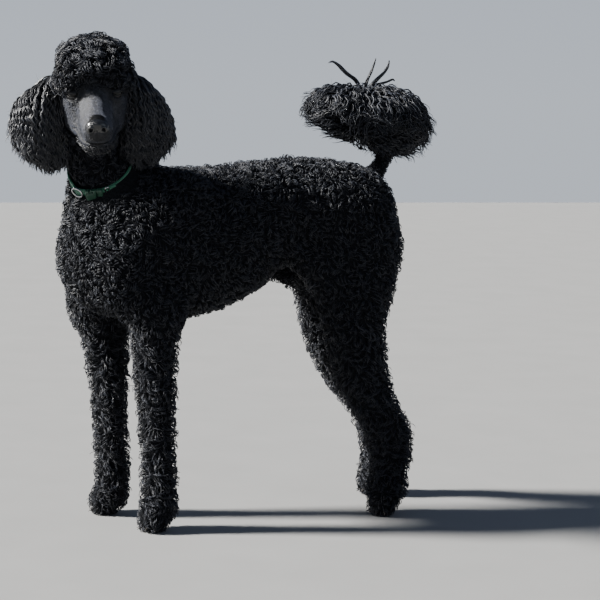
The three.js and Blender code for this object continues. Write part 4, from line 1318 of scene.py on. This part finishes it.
def joined(parts):
    """Several meshes as one list of points and one of faces."""
    points, faces, start = [], [], 0
    for place, ring in parts:
        points.append(place)
        faces += [[i + start for i in face] for face in ring]
        start += len(place)
    return np.concatenate(points), faces


# A lid's section: away from the opening along the face, and from the eye's middle
LID_SECTION = [(0.2, 11.7), (-0.2, 12.0), (0.2, 12.4), (1.2, 12.7), (3.5, 12.8), (6.5, 12.3), (9.0, 11.2),
               (8.0, 10.6)]
LID_HALF = 8.6                  # half the length of the opening between the lids
LID_EDGES = (3.0, -3.2)         # the upper and the lower lid's edge at the middle of the eye
LID_STEPS = 31


def build_lids(side):
    """The lids of one eye, each a rolled edge over the eyeball that runs back under the skin."""
    gaze = HEAD_AXES @ lid_gaze(side)
    across, upward = axes_of(gaze)
    lids = []
    for edge in LID_EDGES:
        away = math.copysign(1, edge)
        rings = []
        for h in np.linspace(-1, 1, LID_STEPS):
            u = h * LID_HALF
            start = edge * (1 - h * h) ** 0.8 + LID_TILT * u * side
            ring = []
            for offset, radius in LID_SECTION:
                v = start + away * offset
                w = math.sqrt(max(radius**2 - u * u - v * v, 4))
                ring.append(EYES[side] + u * across + v * upward + w * gaze)
            rings.append(ring[::int(away)])
        lids.append(swept(np.array(rings), False))
    make_piece(f"eyelids_{SIDE_NAME[side]}", *joined(lids), [EYE_RIMS], "face")


NOSE_LIMBS = [
    *head_pair([[10.3, -142, -29, 9.6, 10.4, 10.6], [12, -136, -30, 8.6, 9, 9.5]], 7),
    Limb([[0, -141, -34, 7, 8, 8], [0, -140, -26, 8, 9, 8]], 6, True),
    Limb([[0, -141, -22, 11, 11, 7], [0, -128, -16, 12, 12, 6]], 10, True),
]
NOSE_REACH = 26
NOSE_CELL = 1.0


def nose_detail(points, total):
    """Nostrils: a round hole each, drawn out into a slit towards the side, and the groove between."""
    x, y, z = into_head(points).T
    value = total
    for side in BOTH:
        hole = np.stack([x - side * 10, (y + 149) * 0.6, (z + 29.5) * 1.1], 1)
        round_hole = np.linalg.norm(hole, axis=1) - 3.6
        along = np.clip((side * x - 10) / 10, 0, 1)
        slit_z = -30.5 - 3.5 * along
        slit_y = -151 + 9 * along
        slit = np.hypot(z - slit_z, (y - slit_y) * 0.5) - (2.1 - 1.0 * along)
        slit = np.maximum(slit, np.abs(side * x - 15) - 6)
        nostril = np.minimum(round_hole, slit)
        value = np.maximum(value - bell((nostril - 1.6) / 1.3), -nostril)
    return value + 1.3 * bell(x / 1.1) * smoothstep(-27, -32, z)


def build_nose():
    field = Field(entries(NOSE_LIMBS, 0), nose_detail)
    tip = out_of_head([0, -142, -28])
    points, quads = surface_net(field, tip - NOSE_REACH, tip + NOSE_REACH, NOSE_CELL)
    points = field.drawn_onto(points, NOSE_CELL / 2, 1)
    piece = make_piece("nose_leather", points, quads, [nose_material()], "nose")
    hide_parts("nose")


TOE_ANGLES = (-42, -14, 14, 42)
CLAW_LENGTH = 17.0
CLAW_RADIUS = 2.9
CLAW_DROP = 0.34                # how far its tip drops, as a share of its length
CLAW_LIFT = 2.6                 # how far its root lies over the middle of its solid
CLAW_STEPS = 9
CLAW_SIDES = 10


def build_claws():
    """Curved claws, four to a foot, each in the place of its solid cone."""
    t = np.linspace(0, 1, CLAW_STEPS)
    profile = CLAW_RADIUS * (1 - t ** 1.7)
    for part in ("fore_paw", "hind_paw"):
        for side in BOTH:
            nodes = [f"claw_{part}_{SIDE_NAME[side]}_{n + 1}" for n in range(4)]
            paths = []
            for n, angle in enumerate(TOE_ANGLES):
                low, high = ((np.array(corner) - SHIFT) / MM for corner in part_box(nodes[n]))
                heading = side * PAW_TURN + angle * DEGREE
                out = np.array([math.sin(heading), -math.cos(heading), 0])
                drop = -CLAW_LENGTH * CLAW_DROP * column(t) ** 1.6
                paths.append((low + high) / 2 + out * column(t - 0.5) * CLAW_LENGTH + UP * (drop + CLAW_LIFT))
            radii = np.broadcast_to(profile, (4, CLAW_STEPS))
            name = f"claws_{part}_{SIDE_NAME[side]}"
            piece = tube_piece(name, np.array(paths), radii, CLAW_SIDES, CLAW_HORN, "claw")
            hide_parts(*nodes)


# Collar

THROAT = COLLAR_TURN.T @ DOWN
THROAT_ANGLE = math.atan2(THROAT[1], THROAT[0])
BUCKLE_ANGLE = THROAT_ANGLE + 0.18
SLIDER_ANGLE = THROAT_ANGLE + 0.54
RING_ANGLE = THROAT_ANGLE - 0.3
RING_RADIUS = 10.0
RING_WIRE = 1.7
RING_DROP = 4.0
SLIDER_HALF = (3.0, 11.8)       # half length and half width
SLIDER_WIRE = 1.3
SLIDER_OUT = 2.6
HOOP_SIDES = 12

# The webbing's cross-section, with thicker edges: across the strap, and out of its outer face
WEBBING = [(-10, -2.2), (-10, -0.5), (-9.5, 0), (-8.2, 0.1), (-7.4, -0.1), (0, 0), (7.4, -0.1), (8.2, 0.1),
           (9.5, 0), (10, -0.5), (10, -2.2), (9.4, -2.7), (-9.4, -2.7)]
WEAVE = (1.7, 1.25)             # the weave's period along the strap and across it
WEBBING_PACE = 2.1              # about how far apart the strap's rings of points are
DOUBLED = 26.0                  # the length of the second layer, under the slider
DOUBLED_OUT = 2.4               # how far out it lies
DOUBLED_START = SLIDER_ANGLE - 0.16
STITCH = 3.1                    # a stitch's length
STITCH_PACE = 4.3               # from the start of one to the start of the next
STITCH_RISE = 0.35
STITCH_RADIUS = 0.38
STITCH_ROWS = (-7.6, 7.6)


def webbing_material():
    """Green webbing: a close weave, with bump along and across, and darker in the weave's dips as painted
    shade.
    """
    made, tree, shader = principled("green_webbing", Roughness=0.62, Specular_IOR_Level=0.4,
                                    Sheen_Weight=0.25, Sheen_Roughness=0.4)
    place = node(tree, "SeparateXYZ", {0: attribute(tree, "weave", "Vector")})
    waves = [maths(tree, "SINE", maths(tree, "MULTIPLY", place.outputs[axis], 2 * math.pi / period))
             for axis, period in zip("XY", WEAVE)]
    weave = maths(tree, "MULTIPLY", *waves)
    height = node(tree, "MapRange", {"Value": weave, "From Min": -1.0}).outputs["Result"]
    # the colour follows the weave's height, darker in its dips as painted shade, times a random mottle
    painted_weave_shade_and_mottle = maths(tree, "MULTIPLY", height, noise(tree, 60, 3))
    fill(shader, {"Base Color": ramp(tree, painted_weave_shade_and_mottle, (0.1, (0.008, 0.06, 0.032)), (0.5, (0.028, 0.2, 0.11))),
                  "Normal": bump(tree, height, 0.7, 0.0005)})
    return made


def hoop(line, radius):
    """A closed wire along a flat, level loop of points."""
    tangents = normalised(np.roll(line, -1, 0) - np.roll(line, 1, 0))
    turn = 2 * np.pi * np.arange(HOOP_SIDES) / HOOP_SIDES
    ring = swung(np.cross(tangents, UP)[:, None], UP, turn)
    return swept(line[:, None] + radius * ring, True)


def slab(outline, low, high, bevel):
    """A plate of the given outline, anticlockwise, with its upper edge bevelled."""
    outline = np.array(outline, float)
    first = normalised(outline - np.roll(outline, 1, 0))
    second = normalised(np.roll(outline, -1, 0) - outline)
    inward = normalised(np.stack([-first[:, 1] - second[:, 1], first[:, 0] + second[:, 0]], 1))
    levels = [(0, low), (0, high - bevel), (0.35 * bevel, high - 0.3 * bevel), (bevel, high)]
    rings = [np.column_stack([outline + inset * inward, np.full(len(outline), level)])
             for inset, level in levels]
    return swept(np.stack(rings), False)


def mirrored(outline):
    return [(x, -y) for x, y in reversed(outline)]


def worn(points, angle, out):
    """Points along the strap, across it and out of it, put onto the collar at an angle."""
    radial = COLLAR_TURN @ [math.cos(angle), math.sin(angle), 0]
    tangent = COLLAR_TURN @ [-math.sin(angle), math.cos(angle), 0]
    origin = COLLAR_CENTRE + radial * (collar_radius(angle) + out)
    return origin + points @ np.array([tangent, COLLAR_AXIS, radial])


def strap_length(start, length, out, closed):
    """Points, faces and weave coordinates of a length of webbing, out from the strap's face."""
    across, height = np.array(WEBBING, float).T
    rows = np.linspace(0, length, int(length / WEBBING_PACE) + 2)
    rows = column(rows[:-1] if closed else rows)
    points, faces = swept(on_collar(rows, height + out, across, start)[:, ::-1], closed)
    shape = (len(rows), len(across))
    weave = [np.broadcast_to(rows, shape), np.broadcast_to(across[::-1], shape), np.zeros(shape)]
    return points, faces, np.stack(weave, -1).reshape(-1, 3)


def build_strap():
    """Webbing round the neck, doubled at the slider, and its stitches."""
    whole = 2 * math.pi * COLLAR_REACH
    lengths = [strap_length(BUCKLE_ANGLE, whole, 0, True),
               strap_length(DOUBLED_START, DOUBLED, DOUBLED_OUT, False)]
    points, faces = joined([(place, ring) for place, ring, _ in lengths])
    strap = make_piece("collar_webbing", points, faces, [webbing_material()], "webbing")
    set_layer(strap.data, "weave", np.concatenate([weave for _, _, weave in lengths]), "FLOAT_VECTOR")
    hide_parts("collar_strap")
    thread = grained("collar_thread", (900, 2), (0.3, (0.02, 0.12, 0.07)), (0.7, (0.05, 0.22, 0.13)),
                     Roughness=0.6, Sheen_Weight=0.2)
    starts = column(np.arange(0, whole - STITCH, STITCH_PACE))
    t = np.linspace(0, 1, 5)
    rise = STITCH_RISE * np.sin(math.pi * t)
    paths = np.concatenate([on_collar(starts + STITCH * t, rise, row, BUCKLE_ANGLE) for row in STITCH_ROWS])
    tube_piece("collar_stitching", paths, np.full(paths.shape[:2], STITCH_RADIUS), 5, thread, "webbing")


def build_buckle():
    """A side-release buckle: socket, two prongs, a bar for the strap and a raised grip."""
    socket = [(4, 12.5), (0.5, 12.5), (-0.5, 9), (-7.5, 9), (-8.5, 12.5), (-12.5, 12.5), (-15, 10)]
    prong = [(8, 8.5), (8, 11.5), (0, 12.4), (-4, 13), (-7, 11.5), (-7, 9.8), (0, 9.4)]
    grip = [(1.5, 7), (-11, 7), (-12.5, 5.5)]
    bar = [(15, 11), (13.5, 12.5), (7, 12.5), (5.4, 11)]
    plates = [slab(socket + mirrored(socket), -1.5, 6.5, 1.6), slab(prong, 1.2, 4.8, 0.7),
              slab(mirrored(prong), 1.2, 4.8, 0.7), slab(bar + mirrored(bar), -1.5, 5.4, 1.4),
              slab(grip + mirrored(grip), 5.5, 7.1, 0.5)]
    plastic = grained("moulded_green", (90, 3), (0.3, (0.006, 0.03, 0.017)), (0.7, (0.011, 0.05, 0.028)),
                      bumped=(0.2, 0.0002), finer=(1400, 2), Roughness=0.4, Specular_IOR_Level=0.5)
    points, faces = joined(plates)
    buckle = make_piece("side_release_buckle", worn(points, BUCKLE_ANGLE, 0), faces, [plastic], "buckle",
                        smooth=False)
    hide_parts("collar_buckle")


def squared(wave, power):
    """A wave with fuller corners, the lower the power is."""
    return np.sign(wave) * np.abs(wave) ** power


def build_steel():
    """The slider's frame, and the welded ring."""
    steel = grained("polished_steel", (300, 4), (0.3, (0.3, 0.3, 0.3)), (0.7, (0.48, 0.48, 0.49)),
                    rough=(0.14, 0.34), Metallic=1.0, Roughness=0.22)
    turn = 2 * np.pi * np.arange(48) / 48
    c, s, level = np.cos(turn), np.sin(turn), 0 * turn
    half_length, half_width = SLIDER_HALF
    rounded = np.stack([squared(c, 0.45) * half_length, squared(s, 0.3) * half_width, level], 1)
    points, faces = hoop(rounded, SLIDER_WIRE)
    slider = make_piece("slider_frame", worn(points, SLIDER_ANGLE, SLIDER_OUT), faces, [steel], "steel")
    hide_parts("collar_slider")
    points, faces = hoop(RING_RADIUS * np.stack([c, s, level], 1) + [0, RING_DROP, 0], RING_WIRE)
    ring = make_piece("welded_ring", worn(points, RING_ANGLE, 2 * RING_WIRE), faces, [steel], "steel")
    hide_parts("collar_ring")


# Floor, lights and camera

CAMERA_AZIMUTH = 68 * DEGREE
CAMERA_DISTANCE = 3300.0
CAMERA_HEIGHT = 770.0
CAMERA_ROLL = 1.5 * DEGREE
SENSOR = 36
PHOTO_SIDE = 600                # the picture's width and height
PIXELS_PER_METRE = 555          # at the middle of the body
FOCAL_PIXELS = PIXELS_PER_METRE * CAMERA_DISTANCE * MM
ORIGIN_COLUMN = 228             # where the middle of the body falls
PITCH_PIXELS = 205              # how far above the middle of the picture the horizon would be
FLOOR_HALF = 9
KEY_WAY = (0.24, 0.783, -0.574)     # the way that the sun shines
FILL_PLACE = (3.4, 1.6, 2.2)
FILL_AIM = (0, 0, 0.5)


def build_camera():
    c, s = math.cos(CAMERA_AZIMUTH), math.sin(CAMERA_AZIMUTH)
    out, level_right = np.array([s, -c, 0]), np.array([c, s, 0])
    pitch = math.atan(PITCH_PIXELS / FOCAL_PIXELS)
    swing = math.atan((PHOTO_SIDE / 2 - ORIGIN_COLUMN) / FOCAL_PIXELS / math.cos(pitch))
    level = -out * math.cos(swing) + level_right * math.sin(swing)
    right = normalised(np.cross(level, UP))
    look = level * math.cos(pitch) + DOWN * math.sin(pitch)
    up = np.cross(right, look)
    c, s = math.cos(CAMERA_ROLL), math.sin(CAMERA_ROLL)
    right, up = c * right + s * up, c * up - s * right
    place = (out * CAMERA_DISTANCE + [0, 0, CAMERA_HEIGHT]) * MM + SHIFT
    data = bpy.data.cameras.new("camera")
    data.sensor_width = SENSOR
    data.lens = FOCAL_PIXELS / PHOTO_SIDE * SENSOR
    axes = np.eye(4)
    axes[:3, 0], axes[:3, 1], axes[:3, 2], axes[:3, 3] = right, up, -look, place
    camera = shown("camera", data)
    camera.matrix_world = Matrix(axes.tolist())
    bpy.context.scene.camera = camera


def add_light(name, kind, place, way, **settings):
    data = bpy.data.lights.new(name, kind)
    for key, value in settings.items():
        setattr(data, key, value)
    light = shown(name, data)
    light.location = place
    light.rotation_mode = "QUATERNION"
    light.rotation_quaternion = way.to_track_quat("-Z", "Y")


def build_stage():
    """A pale floor, a sky that is lighter low down, the sun as key and a weak fill from the left."""
    mesh = bpy.data.meshes.new("floor")
    corners = [(-1, -1), (1, -1), (1, 1), (-1, 1)]
    mesh.from_pydata([(FLOOR_HALF * x, FLOOR_HALF * y, 0) for x, y in corners], [], [[0, 1, 2, 3]])
    mesh.materials.append(grained("pale_floor", (6, 2), (0.3, (0.175, 0.175, 0.172)),
                                  (0.7, (0.187, 0.187, 0.184)), Roughness=0.8))
    floor = shown("floor", mesh)
    world = bpy.data.worlds.new("studio")
    world.use_nodes = True
    tree = world.node_tree
    height = node(tree, "SeparateXYZ", {0: node(tree, "TexCoord", {}).outputs["Generated"]}).outputs["Z"]
    sky = ramp(tree, height, (0.0, (0.58, 0.63, 0.7)), (0.12, (0.5, 0.56, 0.66)), (0.3, (0.12, 0.155, 0.24)))
    fill(tree.nodes["Background"], {"Color": sky, "Strength": 1.0})
    bpy.context.scene.world = world
    add_light("key", "SUN", (0, 0, 0), Vector(KEY_WAY), energy=22, angle=8 * DEGREE, color=(1.0, 0.98, 0.94))
    add_light("fill", "AREA", FILL_PLACE, Vector(FILL_AIM) - Vector(FILL_PLACE), shape="DISK", size=2.4,
              energy=12, color=(0.8, 0.9, 1.0))


build_camera()
build_stage()
skin = build_skin()
for side in BOTH:
    build_eye(side)
    build_lids(side)
build_nose()
build_claws()
build_strap()
build_buckle()
build_steel()
rng = np.random.default_rng(SEED)
body_coat(rng, skin)
topknot_coat(rng, skin)
for side in BOTH:
    ear_coat(rng, skin, side)
plume_coat(rng, skin)
tail_cords(rng)
fly_aways(rng, skin)
face_coat(rng, skin)
